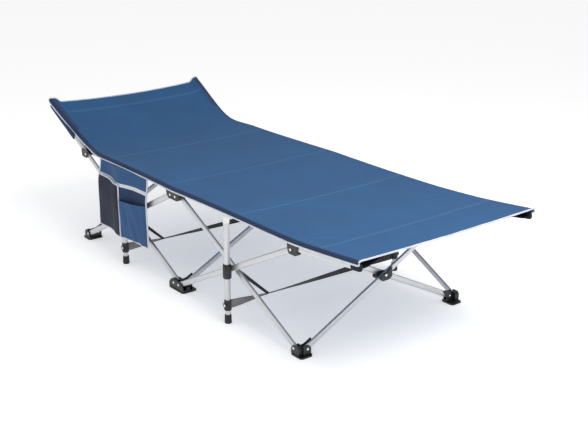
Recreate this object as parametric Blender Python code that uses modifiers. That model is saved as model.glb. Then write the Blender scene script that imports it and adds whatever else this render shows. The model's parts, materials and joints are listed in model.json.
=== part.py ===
"""A folding camp bed: a fabric bed on a steel frame that gathers into a bundle both ways.

The bed's long axis is X, with the raised head end at -X.  The near side, which carries the
pocket, is -Y.  Three stations (head, mid, foot) stand along the bed.  At each station two flat
oval tubes cross from side to side, and between stations two more cross along each long side,
so every knuckle joins a side pair to a cross pair.  All tubes have the same pivot span, which
is what lets the whole frame fold as one.  Metres, +Z up, floor at z = 0.
"""
import math

import bmesh
import bpy
from mathutils import Matrix, Vector

# ---- driving dimensions ---------------------------------------------------------------------
PIVOT_SPAN = 0.627        # along the floor, from a tube's lower pivot to its upper one
PIVOT_LOW = 0.024         # height of the pivots in the feet
PIVOT_HIGH = 0.344        # height of the pivots in the top brackets
MID_PIVOT = 0.0155        # side pivot from the middle of a mid knuckle
END_PIVOT = 0.013         # side pivot from the middle of an end knuckle
HEAD_OVERHANG = 0.268     # fabric beyond the head station
FOOT_OVERHANG = 0.289     # fabric beyond the foot station

TUBE_DEPTH = 0.020        # flat oval tube, in the plane it turns in
TUBE_WIDTH = 0.010        # across that plane
TUBE_WALL = 0.0012
TUBE_END = 0.007          # tube left beyond a pivot
FOOT_TUBE_BEND = 0.0135   # past the foot brackets' pivots, along the bed
FOOT_TUBE_RISE = math.radians(5.5)

PIN_RADIUS = 0.003
PIN_SIDES = 10
PIN_GAP = 0.0003          # round a pin, on the radius
SIDE_GAP = 0.001          # from a tube to the slot that it turns in
LANE_GAP = 0.002          # between the two side tubes where they cross
SLOT_REACH = 0.0132       # radius that a tube's square end sweeps, with clearance

SHELL = 0.003             # moulded walls beside a slot
RIB = 0.0025              # moulded walls between two slots
PAD_THICKNESS = 0.005     # the feet's base pads
PAD_LENGTH_END = 0.054
PAD_LENGTH_MID = 0.092
PAD_LIP = 0.002
FOOT_HEIGHT = 0.036       # of the moulded foot
FIN_HEIGHT = 0.050        # the wall that backs a cross tube at a foot
FIN_REACH = 0.027
ROOF = 0.0033             # moulded roof over the tubes' ends in a top bracket
FLANGE = 0.0015           # plate on the top brackets, under the fabric
FLANGE_LENGTH = 0.088
BRACKET_DROP = 0.014      # of a top bracket below its pivots

CROSS_LANE = 0.0085       # each cross tube's own plane, from the station's middle
HUB_LENGTH = 0.052        # hub at the middle of a cross pair, across the bed
HUB_DROP = 0.018
HUB_FIN = 0.022

POST_RADIUS = 0.010
POST_WALL = 0.0015
POST_STEP = 0.084         # below this the post is thinner
POST_LOW_RADIUS = 0.0088
POST_ABOVE = 0.0125       # post's top above the top brackets' pivots
POST_GAP = 0.0028         # between a post and the side tubes
COLLAR_RADIUS = 0.0140
COLLAR_HEIGHT = 0.048
COLLAR_DROP = 0.005       # collar's middle, below the crossing that it hangs on
RUBBER_RADIUS = 0.0120
RUBBER_HEIGHT = 0.030
BRACKET_RING_RADIUS = 0.0120
STRAP_HEIGHT = 0.063      # strap's middle above the floor
STRAP_WIDTH = 0.034
STRAP_THICKNESS = 0.0020
CLIP_WIDTH = 0.022
CLIP_THICKNESS = 0.002
LUG_WIDTH = 0.006         # lug on the clip that the strap is sewn to

FABRIC_THICKNESS = 0.002
FABRIC_GAP = 0.0005
FABRIC_SIDE = 0.0365      # fabric beyond the cross tubes' pivots, on each side

POCKET_START = 0.152      # from the head station, along the bed
POCKET_LENGTH = 0.346
POCKET_BOTTOM = 0.102
POCKET_ABOVE = 0.015      # pocket's top above the top brackets' pivots
POCKET_CLOTH = 0.002
POCKET_GAP = 0.002        # between the pocket and the post collars
POCKET_SPLIT = 0.185      # where the mesh pouch ends and the bottle pouch starts
MESH_POUCH_DEPTH = 0.0055
MESH_POUCH_TOP = 0.295
BOTTLE_POUCH_DEPTH = 0.020
BOTTLE_POUCH_TOP = 0.242

GAP = 0.0005              # between pieces that lie against each other

# ---- places worked out from them ------------------------------------------------------------
RISE = PIVOT_HIGH - PIVOT_LOW
SLOPE = math.atan2(RISE, PIVOT_SPAN)
BAY = PIVOT_SPAN + MID_PIVOT + END_PIVOT
CROSSING_Z = (PIVOT_LOW + PIVOT_HIGH) / 2
POST_TOP = PIVOT_HIGH + POST_ABOVE
POCKET_TOP = PIVOT_HIGH + POCKET_ABOVE
SLOT_HALF = TUBE_WIDTH / 2 + SIDE_GAP
CROSS_V = PIVOT_SPAN / 2
FABRIC_HALF_WIDTH = CROSS_V + FABRIC_SIDE
INNER_LANE = CROSS_V + SLOT_REACH + RIB + SLOT_HALF
OUTER_LANE = INNER_LANE + TUBE_WIDTH + LANE_GAP
LANES_OUT = OUTER_LANE + TUBE_WIDTH / 2
POST_V = LANES_OUT + POST_GAP + POST_RADIUS
BOSS_START = LANES_OUT + GAP
POCKET_IN = POST_V + COLLAR_RADIUS + POCKET_GAP
POCKET_OUT = POCKET_IN + BOTTLE_POUCH_DEPTH + 2 * POCKET_CLOTH
FAR_OUT = POST_V + COLLAR_RADIUS

SIDES = {"near": -1, "far": 1}
STATIONS = ("head", "mid", "foot")
BAYS = {"head": ("head", "mid"), "foot": ("mid", "foot")}
MIDDLE_X = (HEAD_OVERHANG - FOOT_OVERHANG) / 2
MIDDLE_Y = (POCKET_OUT - FAR_OUT) / 2
STATION_X = {name: MIDDLE_X + (i - 1) * BAY for i, name in enumerate(STATIONS)}

STEEL = ("silver_steel", (0.62, 0.63, 0.64), 0.32, 0.9)
BLACK = ("black_nylon", (0.018, 0.018, 0.020), 0.45, 0.0)
RUBBER = ("black_rubber", (0.022, 0.022, 0.022), 0.75, 0.0)
RIVET = ("rivet_steel", (0.78, 0.78, 0.78), 0.25, 1.0)
BLUE = ("blue_oxford", (0.055, 0.130, 0.270), 0.85, 0.0)
NAVY = ("navy_pocket", (0.020, 0.040, 0.110), 0.9, 0.0)
WEB = ("black_webbing", (0.012, 0.012, 0.014), 0.8, 0.0)


def place(side, across):
    """World Y of a point that lies `across` from the bed's middle, towards one side."""
    return MIDDLE_Y + SIDES[side] * across


def side_pivot(station, toward):
    """World X of the side pivot at a station, for the bay that lies toward +1 or -1."""
    return STATION_X[station] + toward * (MID_PIVOT if station == "mid" else END_PIVOT)


def crossing_x(bay):
    start, end = BAYS[bay]
    return (side_pivot(start, 1) + side_pivot(end, -1)) / 2


# ---- collections, materials and plain shapes ------------------------------------------------
for old in list(bpy.data.objects):
    bpy.data.objects.remove(old)

PARTS = bpy.data.collections.new("folding_camp_bed")
CUTTERS = bpy.data.collections.new("cutters")
bpy.context.scene.collection.children.link(PARTS)
bpy.context.scene.collection.children.link(CUTTERS)


def material(finish):
    name, colour, roughness, metallic = finish
    found = bpy.data.materials.get(name)
    if found:
        return found
    made = bpy.data.materials.new(name)
    made.use_nodes = True
    shader = made.node_tree.nodes["Principled BSDF"]
    shader.inputs["Base Color"].default_value = (*colour, 1.0)
    shader.inputs["Roughness"].default_value = roughness
    shader.inputs["Metallic"].default_value = metallic
    made.diffuse_color = (*colour, 1.0)
    return made


def new_object(name, mesh):
    made = bpy.data.objects.new(name, mesh)
    CUTTERS.objects.link(made)
    made.hide_render = True
    made.display_type = "WIRE"
    return made


def box(x, y, z, name="block"):
    """A block between pairs of world coordinates, each pair in either order."""
    spans = [sorted(pair) for pair in (x, y, z)]
    size = Vector([high - low for low, high in spans])
    centre = Vector([(low + high) / 2 for low, high in spans])
    shape = bmesh.new()
    place_and_size = Matrix.Translation(centre) @ Matrix.Diagonal(size).to_4x4()
    bmesh.ops.create_cube(shape, size=1.0, matrix=place_and_size)
    mesh = bpy.data.meshes.new(name)
    shape.to_mesh(mesh)
    shape.free()
    return new_object(name, mesh)


def rod(centre, axis, radius, length, sides=12, name="rod", top_radius=None):
    """A cylinder, or a cone, round one of the world axes."""
    turn = {"X": Matrix.Rotation(math.pi / 2, 4, "Y"), "Y": Matrix.Rotation(-math.pi / 2, 4, "X"),
            "Z": Matrix.Identity(4)}[axis]
    shape = bmesh.new()
    bmesh.ops.create_cone(
        shape, cap_ends=True, segments=sides, radius1=radius, depth=length,
        radius2=radius if top_radius is None else top_radius,
        matrix=Matrix.Translation(centre) @ turn)
    mesh = bpy.data.meshes.new(name)
    shape.to_mesh(mesh)
    shape.free()
    return new_object(name, mesh)


def as_mesh(curve_object, name):
    """Turns a curve object into a welded mesh object in the same place, and removes the curve."""
    bpy.context.view_layer.update()
    graph = bpy.context.evaluated_depsgraph_get()
    mesh = bpy.data.meshes.new_from_object(curve_object.evaluated_get(graph))
    mesh.name = name
    mesh.transform(curve_object.matrix_world)
    bpy.data.objects.remove(curve_object)
    shape = bmesh.new()
    shape.from_mesh(mesh)
    bmesh.ops.remove_doubles(shape, verts=shape.verts, dist=1e-6)
    bmesh.ops.recalc_face_normals(shape, faces=shape.faces)
    shape.to_mesh(mesh)
    shape.free()
    return new_object(name, mesh)


def plate(outline, plane, low, high, name="plate"):
    """A flat outline with thickness.  The outline is drawn in the XZ, YZ or XY plane, in world
    coordinates, and runs from low to high along the axis that is left."""
    curve = bpy.data.curves.new(name, "CURVE")
    curve.dimensions = "2D"
    curve.fill_mode = "BOTH"
    curve.extrude = abs(high - low) / 2
    spline = curve.splines.new("POLY")
    spline.points.add(len(outline) - 1)
    for point, (a, b) in zip(spline.points, outline):
        point.co = (a, b, 0.0, 1.0)
    spline.use_cyclic_u = True
    flat = new_object(name, curve)
    middle = (low + high) / 2
    columns = {
        "XY": ((1, 0, 0), (0, 1, 0), (0, 0, 1), (0, 0, middle)),
        "XZ": ((1, 0, 0), (0, 0, 1), (0, -1, 0), (0, middle, 0)),
        "YZ": ((0, 1, 0), (0, 0, 1), (1, 0, 0), (middle, 0, 0)),
    }[plane]
    flat.matrix_world = Matrix([list(column) + [0.0] for column in columns[:3]] +
                               [list(columns[3]) + [1.0]]).transposed()
    return as_mesh(flat, name)


def combine(target, operand, operation):
    step = target.modifiers.new(operation.lower(), "BOOLEAN")
    step.operation = operation
    step.solver = "EXACT"
    step.object = operand


def add(target, *operands):
    for operand in operands:
        combine(target, operand, "UNION")


def cut(target, *operands):
    for operand in operands:
        combine(target, operand, "DIFFERENCE")


def finish(target, name, look, pivot):
    """Makes a shape into a named part whose origin lies on the axis that it turns about."""
    target.name = name
    target.data.name = name
    target.data.transform(Matrix.Translation(-Vector(pivot)))
    target.location = pivot
    target.data.materials.clear()
    target.data.materials.append(material(look))
    target.hide_render = False
    target.display_type = "TEXTURED"
    CUTTERS.objects.unlink(target)
    PARTS.objects.link(target)
    return target


# ---- flat oval tubes ------------------------------------------------------------------------
def oval_profile():
    """The tube's outline: two straight sides joined by half circles, taller than wide."""
    found = bpy.data.objects.get("tube_profile")
    if found:
        return found
    half_width = TUBE_WIDTH / 2
    straight = TUBE_DEPTH / 2 - half_width
    curve = bpy.data.curves.new("tube_profile", "CURVE")
    curve.dimensions = "2D"
    steps = 5
    points = []
    for end, start in ((1, 0.0), (-1, math.pi)):
        for i in range(steps + 1):
            angle = start + math.pi * i / steps
            points.append((half_width * math.cos(angle),
                           end * straight + half_width * math.sin(angle)))
    spline = curve.splines.new("POLY")
    spline.points.add(len(points) - 1)
    for point, (a, b) in zip(spline.points, points):
        point.co = (a, b, 0.0, 1.0)
    spline.use_cyclic_u = True
    return new_object("tube_profile", curve)


def oval_tube(route, name):
    """An open-ended tube of the flat oval section along a route that lies in a vertical plane."""
    curve = bpy.data.curves.new(name, "CURVE")
    curve.dimensions = "3D"
    curve.twist_mode = "Z_UP"
    curve.bevel_mode = "OBJECT"
    curve.bevel_object = oval_profile()
    spline = curve.splines.new("POLY")
    spline.points.add(len(route) - 1)
    for point, position in zip(spline.points, route):
        point.co = (*position, 1.0)
    tube = as_mesh(new_object(name, curve), name)
    wall = tube.modifiers.new("wall", "SOLIDIFY")
    wall.thickness = TUBE_WALL
    wall.offset = -1.0
    wall.use_even_offset = True
    return tube


def beyond(start, end, distance):
    """The point that lies a distance past `end`, seen from `start`."""
    return tuple(Vector(end) + (Vector(end) - Vector(start)).normalized() * distance)


def bend_points(before, corner, after, radius=0.05, steps=4):
    """A round bend between two straight runs, as points on its arc."""
    a = (Vector(before) - Vector(corner)).normalized()
    b = (Vector(after) - Vector(corner)).normalized()
    turn = math.pi - a.angle(b)
    reach = radius * math.tan(turn / 2)
    centre = Vector(corner) + (a + b).normalized() * (radius / math.cos(turn / 2))
    first = Vector(corner) + a * reach - centre
    last = Vector(corner) + b * reach - centre
    return [tuple(centre + first.slerp(last, i / steps) * radius) for i in range(steps + 1)]


def drill(tube, points, axis):
    for point in points:
        cut(tube, rod(point, axis, PIN_RADIUS + PIN_GAP, 3 * TUBE_WIDTH, PIN_SIDES, "pin_hole"))


def side_tube(bay, side, lane):
    """A tube along the bed.  The inner one falls toward the foot end and the outer one rises."""
    start, end = BAYS[bay]
    y = place(side, INNER_LANE if lane == "inner" else OUTER_LANE)
    left, right = side_pivot(start, 1), side_pivot(end, -1)
    z_left, z_right = (PIVOT_HIGH, PIVOT_LOW) if lane == "inner" else (PIVOT_LOW, PIVOT_HIGH)
    low, high = (left, y, z_left), (right, y, z_right)
    route = [beyond(high, low, TUBE_END), beyond(low, high, TUBE_END)]
    if lane == "inner" and bay == "head":
        tip_x = STATION_X["head"] - HEAD_OVERHANG + TUBE_DEPTH / 2
        route[0] = (tip_x, y, PIVOT_HIGH + (left - tip_x) * math.tan(SLOPE))
    if lane == "outer" and bay == "foot":
        corner = (right + FOOT_TUBE_BEND, y, z_right + FOOT_TUBE_BEND * math.tan(SLOPE))
        tip_x = STATION_X["foot"] + FOOT_OVERHANG - TUBE_DEPTH / 2
        tip = (tip_x, y, corner[2] + (tip_x - corner[0]) * math.tan(FOOT_TUBE_RISE))
        route[1:] = bend_points(low, corner, tip) + [tip]
    tube = oval_tube(route, "side_tube")
    middle = ((left + right) / 2, y, CROSSING_Z)
    drill(tube, (low, middle, high), "Y")
    lower_pivot = high if lane == "inner" else low
    return finish(tube, f"side_tube_{lane}_{bay}_{side}", STEEL, lower_pivot)


def cross_tube(station, rising):
    """A tube across the bed, from one foot to the top bracket on the other side."""
    low_side, high_side = ("near", "far") if rising else ("far", "near")
    x = STATION_X[station] + (CROSS_LANE if rising else -CROSS_LANE)
    low = (x, place(low_side, CROSS_V), PIVOT_LOW)
    high = (x, place(high_side, CROSS_V), PIVOT_HIGH)
    tube = oval_tube([beyond(high, low, TUBE_END), beyond(low, high, TUBE_END)], "cross_tube")
    drill(tube, (low, (x, MIDDLE_Y, CROSSING_Z), high), "X")
    kind = "rising" if rising else "falling"
    return finish(tube, f"cross_tube_{kind}_{station}", STEEL, low)


for bay in BAYS:
    for side in SIDES:
        side_tube(bay, side, "inner")
        side_tube(bay, side, "outer")
for station in STATIONS:
    cross_tube(station, True)
    cross_tube(station, False)


# ---- moulded knuckles: the feet and the top brackets ----------------------------------------
def lanes_at(station, level):
    """(direction to the bay, lane) of each side tube that ends in this knuckle."""
    falling, rising = ("inner", "outer") if level == "top" else ("outer", "inner")
    found = []
    if station != "foot":
        found.append((1, INNER_LANE if falling == "inner" else OUTER_LANE))
    if station != "head":
        found.append((-1, OUTER_LANE if rising == "outer" else INNER_LANE))
    return found


def cross_lane_at(side, level):
    """+1 where the rising cross tube ends here, and -1 where the falling one does."""
    return 1 if (side == "near") == (level == "foot") else -1


def slots_and_pins(station, side, level):
    """The slots that the tubes turn in, and the pins that they turn on."""
    z = PIVOT_LOW if level == "foot" else PIVOT_HIGH
    away = 1 if level == "foot" else -1
    open_z = z + away * 0.2
    closed_z = z - away * SLOT_REACH
    slots, pins = [], []
    for toward, lane in lanes_at(station, level):
        x = side_pivot(station, toward)
        y = place(side, lane)
        passes = level == "top" and station != "mid"
        start = x - toward * (0.2 if passes else SLOT_REACH)
        slots.append(box((start, x + toward * 0.2), (y - SLOT_HALF, y + SLOT_HALF),
                         (open_z, z + 0.2 if passes else closed_z), "side_slot"))
        pins.append(rod((x, y, z), "Y", PIN_RADIUS, 2 * SLOT_HALF + RIB, PIN_SIDES, "side_pin"))
    lane_x = STATION_X[station] + cross_lane_at(side, level) * CROSS_LANE
    y = place(side, CROSS_V)
    slots.append(box((lane_x - SLOT_HALF, lane_x + SLOT_HALF),
                     (place(side, CROSS_V + SLOT_REACH), place(side, CROSS_V - 0.2)),
                     (open_z, closed_z), "cross_slot"))
    pins.append(rod((lane_x, y, z), "X", PIN_RADIUS, 2 * SLOT_HALF + RIB, PIN_SIDES, "cross_pin"))
    return slots, pins


def knuckle_faces(station, side, level):
    """Across-the-bed limits of the side block and of the whole knuckle, from the middle."""
    lanes = [lane for _, lane in lanes_at(station, level)]
    return min(lanes) - SLOT_HALF - RIB, max(lanes) + SLOT_HALF + SHELL


def foot(station, side):
    """A moulded foot: base pad, side block, cross block and a fin that backs the cross tube."""
    x = STATION_X[station]
    inner, outer = knuckle_faces(station, side, "foot")
    back = CROSS_V - SLOT_REACH
    half = (PAD_LENGTH_MID if station == "mid" else PAD_LENGTH_END) / 2
    chamfer = 0.007
    toward = {"head": 1, "mid": 0, "foot": -1}[station]
    y_in, y_out = place(side, back - PAD_LIP), place(side, outer + PAD_LIP)
    y_low, y_high = sorted((y_in, y_out))
    pad = plate([(x - half + chamfer, y_low), (x + half - chamfer, y_low),
                 (x + half, y_low + chamfer), (x + half, y_high - chamfer),
                 (x + half - chamfer, y_high), (x - half + chamfer, y_high),
                 (x - half, y_high - chamfer), (x - half, y_low + chamfer)],
                "XY", 0.0, PAD_THICKNESS, "pad")
    sunk = PAD_THICKNESS / 2
    if toward:
        profile = [(-0.012, sunk), (half - 0.002, sunk), (half - 0.002, 0.022),
                   (half - 0.008, FOOT_HEIGHT - 0.004), (half - 0.014, FOOT_HEIGHT),
                   (-0.006, FOOT_HEIGHT), (-0.012, FOOT_HEIGHT - 0.008)]
        profile = [(x + toward * a, b) for a, b in profile]
    else:
        profile = [(half - 0.002, sunk), (half - 0.002, 0.020),
                   (half - 0.012, FOOT_HEIGHT - 0.004), (half - 0.018, FOOT_HEIGHT),
                   (-half + 0.018, FOOT_HEIGHT), (-half + 0.012, FOOT_HEIGHT - 0.004),
                   (-half + 0.002, 0.020), (-half + 0.002, sunk)]
        profile = [(x + a, b) for a, b in profile]
    block_y = sorted((place(side, inner), place(side, outer)))
    side_block = plate(profile, "XZ", *block_y, "side_block")
    lane_x = x + cross_lane_at(side, "foot") * CROSS_LANE
    wall = SLOT_HALF + SHELL
    cross_block = plate([(place(side, a), b) for a, b in (
        (back, sunk), (inner + RIB, sunk), (inner + RIB, FOOT_HEIGHT),
        (CROSS_V + 0.002, FOOT_HEIGHT + 0.002), (CROSS_V - 0.006, FOOT_HEIGHT - 0.001),
        (back, 0.026))], "YZ", lane_x - wall, lane_x + wall, "cross_block")
    fin_low = lane_x - cross_lane_at(side, "foot") * SLOT_HALF
    fin_high = lane_x - cross_lane_at(side, "foot") * wall
    fin = plate([(place(side, a), b) for a, b in (
        (CROSS_V + 0.012, 0.010), (CROSS_V + 0.012, FOOT_HEIGHT - 0.002),
        (CROSS_V - 0.006, FOOT_HEIGHT + 0.005), (CROSS_V - FIN_REACH + 0.004, FIN_HEIGHT),
        (CROSS_V - FIN_REACH, FIN_HEIGHT - 0.006), (CROSS_V - 0.016, 0.022),
        (back + 0.002, 0.010))], "YZ", *sorted((fin_low, fin_high)), "fin")
    slots, pins = slots_and_pins(station, side, "foot")
    add(pad, side_block, cross_block, fin)
    cut(pad, *slots)
    add(pad, *pins)
    return finish(pad, f"foot_{station}_{side}", BLACK, (x, place(side, CROSS_V), PIVOT_LOW))


def top_bracket(station, side):
    """A moulded bracket under the fabric's edge, open below so that its tubes can hang."""
    x = STATION_X[station]
    inner, outer = knuckle_faces(station, side, "top")
    back = CROSS_V - SLOT_REACH
    under = PIVOT_HIGH - BRACKET_DROP
    roof = PIVOT_HIGH + SLOT_REACH + ROOF
    toward = {"head": 1, "mid": 0, "foot": -1}[station]
    if toward:
        profile = [(-0.018, roof), (-0.016, under + 0.006), (-0.010, under), (0.020, under),
                   (0.027, under + 0.010), (0.030, roof)]
        profile = [(x + toward * a, b) for a, b in profile]
    else:
        profile = [(-0.042, roof), (-0.036, under + 0.010), (-0.026, under), (0.026, under),
                   (0.036, under + 0.010), (0.042, roof)]
        profile = [(x + a, b) for a, b in profile]
    block_y = sorted((place(side, inner), place(side, outer)))
    block = plate(profile, "XZ", *block_y, "side_block")
    lane_x = x + cross_lane_at(side, "top") * CROSS_LANE
    wall = SLOT_HALF + SHELL
    cross_block = plate([(place(side, a), b) for a, b in (
        (back, roof), (back, PIVOT_HIGH - 0.005), (CROSS_V + 0.001, under), (inner + RIB, under),
        (inner + RIB, roof))], "YZ", lane_x - wall, lane_x + wall, "cross_block")
    slots, pins = slots_and_pins(station, side, "top")
    add(block, cross_block)
    cut(block, *slots)
    add(block, *pins)
    flange_out = outer if station == "mid" else outer - 2 * SLOT_HALF - SHELL - GAP
    half = FLANGE_LENGTH / 2
    add(block, box((x - half, x + half), (place(side, back - 0.006), place(side, flange_out)),
                   (roof - 0.0006, roof + FLANGE), "flange"))
    if toward:
        lane = lanes_at(station, "top")[0][1]
        web_x = (x - toward * 0.012, x - toward * 0.004)
        web_y = (place(side, lane - SLOT_HALF - 0.001), place(side, lane + SLOT_HALF + 0.001))
        add(block, box(web_x, web_y, (under + 0.0015, PIVOT_HIGH - 0.0055), "web"))
    pivot = (x, place(side, CROSS_V), PIVOT_HIGH)
    return finish(block, f"top_bracket_{station}_{side}", BLACK, pivot)


for station in STATIONS:
    for side in SIDES:
        foot(station, side)
        top_bracket(station, side)


# ---- hubs where the cross tubes meet --------------------------------------------------------
def hub(station):
    """Two cheeks and a middle wall hold the cross tubes, with a step under each rising end."""
    x = STATION_X[station]
    half = HUB_LENGTH / 2
    slot_in, slot_out = CROSS_LANE - SLOT_HALF, CROSS_LANE + SLOT_HALF
    cheek = slot_out + SHELL
    low = CROSSING_Z - HUB_DROP

    def outline(up):
        """A cheek's outline, with its fin toward +Y when up is 1."""
        return [(MIDDLE_Y + up * a, b) for a, b in (
            (-half, low + 0.010), (-half + 0.012, low), (half - 0.012, low), (half, low + 0.008),
            (half, CROSSING_Z + HUB_FIN), (half - 0.006, CROSSING_Z + HUB_FIN),
            (0.006, CROSSING_Z + 0.009), (-0.010, CROSSING_Z + 0.006),
            (-half, CROSSING_Z - 0.001))]

    def step(up):
        """The step that a tube rests on when the frame is open."""
        start = TUBE_DEPTH / 2 + 0.002
        drop = (TUBE_DEPTH / 2) / math.cos(SLOPE) + SIDE_GAP
        return [(MIDDLE_Y + up * a, CROSSING_Z + b) for a, b in (
            (start, -HUB_DROP + 0.001), (half - 0.002, -HUB_DROP + 0.009),
            (half - 0.002, (half - 0.002) * math.tan(SLOPE) - drop),
            (start, start * math.tan(SLOPE) - drop))]

    body = plate([(MIDDLE_Y + a, b) for a, b in (
        (-half, low + 0.010), (-half + 0.012, low), (half - 0.012, low), (half, low + 0.010),
        (half, CROSSING_Z + 0.010), (-half, CROSSING_Z + 0.010))],
        "YZ", x - slot_in, x + slot_in, "middle_wall")
    add(body, plate(step(1), "YZ", x + slot_in - 0.001, x + slot_out + 0.001, "step"),
        plate(step(-1), "YZ", x - slot_out - 0.001, x - slot_in + 0.001, "step"),
        plate(outline(1), "YZ", x + slot_out, x + cheek, "cheek"),
        plate(outline(-1), "YZ", x - cheek, x - slot_out, "cheek"))
    centre = (x, MIDDLE_Y, CROSSING_Z)
    add(body, rod(centre, "X", PIN_RADIUS, 2 * slot_out + SHELL, PIN_SIDES, "pin"))
    finish(body, f"cross_hub_{station}", BLACK, centre)


for station in STATIONS:
    hub(station)


# ---- upright posts on the side crossings ----------------------------------------------------
def turned(profile, centre, name, steps=16):
    """A solid of revolution round a vertical axis, from (radius, z) points down its outside."""
    mesh = bpy.data.meshes.new(name)
    shape = bmesh.new()
    points = [shape.verts.new((radius, 0.0, z)) for radius, z in profile]
    for i, point in enumerate(points):
        shape.edges.new((point, points[(i + 1) % len(points)]))
    shape.to_mesh(mesh)
    shape.free()
    made = new_object(name, mesh)
    screw = made.modifiers.new("turn", "SCREW")
    screw.axis = "Z"
    screw.steps = steps
    screw.render_steps = steps
    screw.use_merge_vertices = True
    screw.merge_threshold = 1e-5
    made.location = (centre[0], centre[1], 0.0)
    return as_mesh_from_modifiers(made, name)


def as_mesh_from_modifiers(target, name):
    """Applies an object's modifiers and its place, so that more shapes can be cut from it."""
    bpy.context.view_layer.update()
    graph = bpy.context.evaluated_depsgraph_get()
    mesh = bpy.data.meshes.new_from_object(target.evaluated_get(graph))
    mesh.transform(target.matrix_world)
    bpy.data.objects.remove(target)
    shape = bmesh.new()
    shape.from_mesh(mesh)
    bmesh.ops.recalc_face_normals(shape, faces=shape.faces)
    shape.to_mesh(mesh)
    shape.free()
    return new_object(name, mesh)


def post_set(bay, side):
    """A post, the collar that hangs it on the crossing pin, its rubber shoe and its strap clip."""
    x, y = crossing_x(bay), place(side, POST_V)
    out = SIDES[side]
    pivot = (x, place(side, INNER_LANE), CROSSING_Z)
    bore = POST_LOW_RADIUS - POST_WALL
    base = 0.006
    post = turned([(POST_RADIUS, POST_TOP), (POST_RADIUS, POST_STEP),
                   (POST_LOW_RADIUS, POST_STEP - 0.003), (POST_LOW_RADIUS, base),
                   (bore, base), (bore, POST_TOP)], (x, y), "post")
    finish(post, f"post_{bay}_{side}", STEEL, pivot)

    middle = CROSSING_Z - COLLAR_DROP
    bottom, top = middle - COLLAR_HEIGHT / 2, middle + COLLAR_HEIGHT / 2
    snug = POST_RADIUS + PIN_GAP
    collar = turned([(snug, top), (COLLAR_RADIUS - 0.002, top), (COLLAR_RADIUS, top - 0.003),
                     (COLLAR_RADIUS, bottom + 0.003), (COLLAR_RADIUS - 0.002, bottom),
                     (snug, bottom)], (x, y), "collar", steps=20)
    boss_end = place(side, POST_V - snug - 0.001)
    boss_start = place(side, BOSS_START)
    boss_y = (boss_start + boss_end) / 2
    cut(collar, box((x - 0.03, x + 0.03), (y - out * 0.1, boss_start), (0, 1), "inner_flat"))
    cut(collar, rod((x, boss_y, CROSSING_Z), "Y", PIN_RADIUS + PIN_GAP, 0.006, PIN_SIDES, "pin_hole"))
    finish(collar, f"post_collar_{bay}_{side}", BLACK, pivot)

    head = 0.0015
    inside = INNER_LANE - TUBE_WIDTH / 2 - GAP
    pin_in = place(side, inside - head / 2)
    pin_out = place(side, POST_V - POST_RADIUS - PIN_GAP - GAP)
    pin_middle = (x, (pin_in + pin_out) / 2, CROSSING_Z)
    pin = rod(pin_middle, "Y", PIN_RADIUS, abs(pin_out - pin_in), PIN_SIDES, "pin")
    add(pin, rod((x, place(side, inside - head / 2), CROSSING_Z), "Y", 0.0055, head, name="head"))
    finish(pin, f"post_pin_{bay}_{side}", RIVET, pivot)

    socket = POST_LOW_RADIUS + PIN_GAP
    rubber = turned([(socket, RUBBER_HEIGHT), (RUBBER_RADIUS - 0.001, RUBBER_HEIGHT),
                     (RUBBER_RADIUS - 0.0005, 0.020), (RUBBER_RADIUS, 0.002),
                     (RUBBER_RADIUS - 0.0015, 0.0), (0.0, 0.0), (0.0, base - PIN_GAP),
                     (socket, base - PIN_GAP)], (x, y), "rubber")
    finish(rubber, f"post_shoe_{bay}_{side}", RUBBER, pivot)

    low, high = STRAP_HEIGHT - STRAP_WIDTH / 2, STRAP_HEIGHT + STRAP_WIDTH / 2
    ring = rod((x, y, STRAP_HEIGHT), "Z", BRACKET_RING_RADIUS, STRAP_WIDTH, sides=16, name="ring")
    clip_in = BRACKET_RING_RADIUS - 0.001
    clip_y = sorted((y + out * clip_in, y + out * (clip_in + CLIP_THICKNESS)))
    half = CLIP_WIDTH / 2
    clip = plate([(x - half, STRAP_HEIGHT), (x, low + 0.002), (x + half, STRAP_HEIGHT),
                  (x, high - 0.002)], "XZ", *clip_y, "clip")
    lug = box((x - LUG_WIDTH / 2, x + LUG_WIDTH / 2),
              (y - out * POST_RADIUS, place(side, BOSS_START)), (low, high), "strap_lug")
    add(ring, clip, lug)
    cut(ring, rod((x, y, STRAP_HEIGHT), "Z", socket, 2 * STRAP_WIDTH, sides=16, name="bore"))
    finish(ring, f"strap_clip_{bay}_{side}", BLACK, pivot)


for bay in BAYS:
    for side in SIDES:
        post_set(bay, side)


# ---- webbing straps between the posts -------------------------------------------------------
def cross_strap(bay):
    """A strap from clip to clip near the floor, with a stay up to each side crossing."""
    x = crossing_x(bay)
    end = BOSS_START - GAP
    fork = 0.62 * end
    half = STRAP_THICKNESS / 2
    low, high = STRAP_HEIGHT - STRAP_WIDTH / 2, STRAP_HEIGHT + STRAP_WIDTH / 2
    narrow = 0.008
    stay_end = INNER_LANE - TUBE_WIDTH / 2 - 0.004
    stay_top = CROSSING_Z - 0.012
    outline = []
    for side in (1, -1):
        upward = [(fork - 0.02, STRAP_HEIGHT + narrow), (stay_end, stay_top + 0.006),
                  (stay_end, stay_top - 0.006), (fork + 0.030, STRAP_HEIGHT + narrow + 0.006),
                  (end, high), (end, low), (fork, STRAP_HEIGHT - narrow)]
        ordered = upward if side == 1 else upward[::-1]
        outline += [(MIDDLE_Y + side * a, b) for a, b in ordered]
    strap = plate(outline, "YZ", x - half, x + half, "strap")
    pivot = (x, place("near", INNER_LANE), CROSSING_Z)
    finish(strap, f"cross_strap_{bay}", WEB, pivot)


for bay in BAYS:
    cross_strap(bay)


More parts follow.
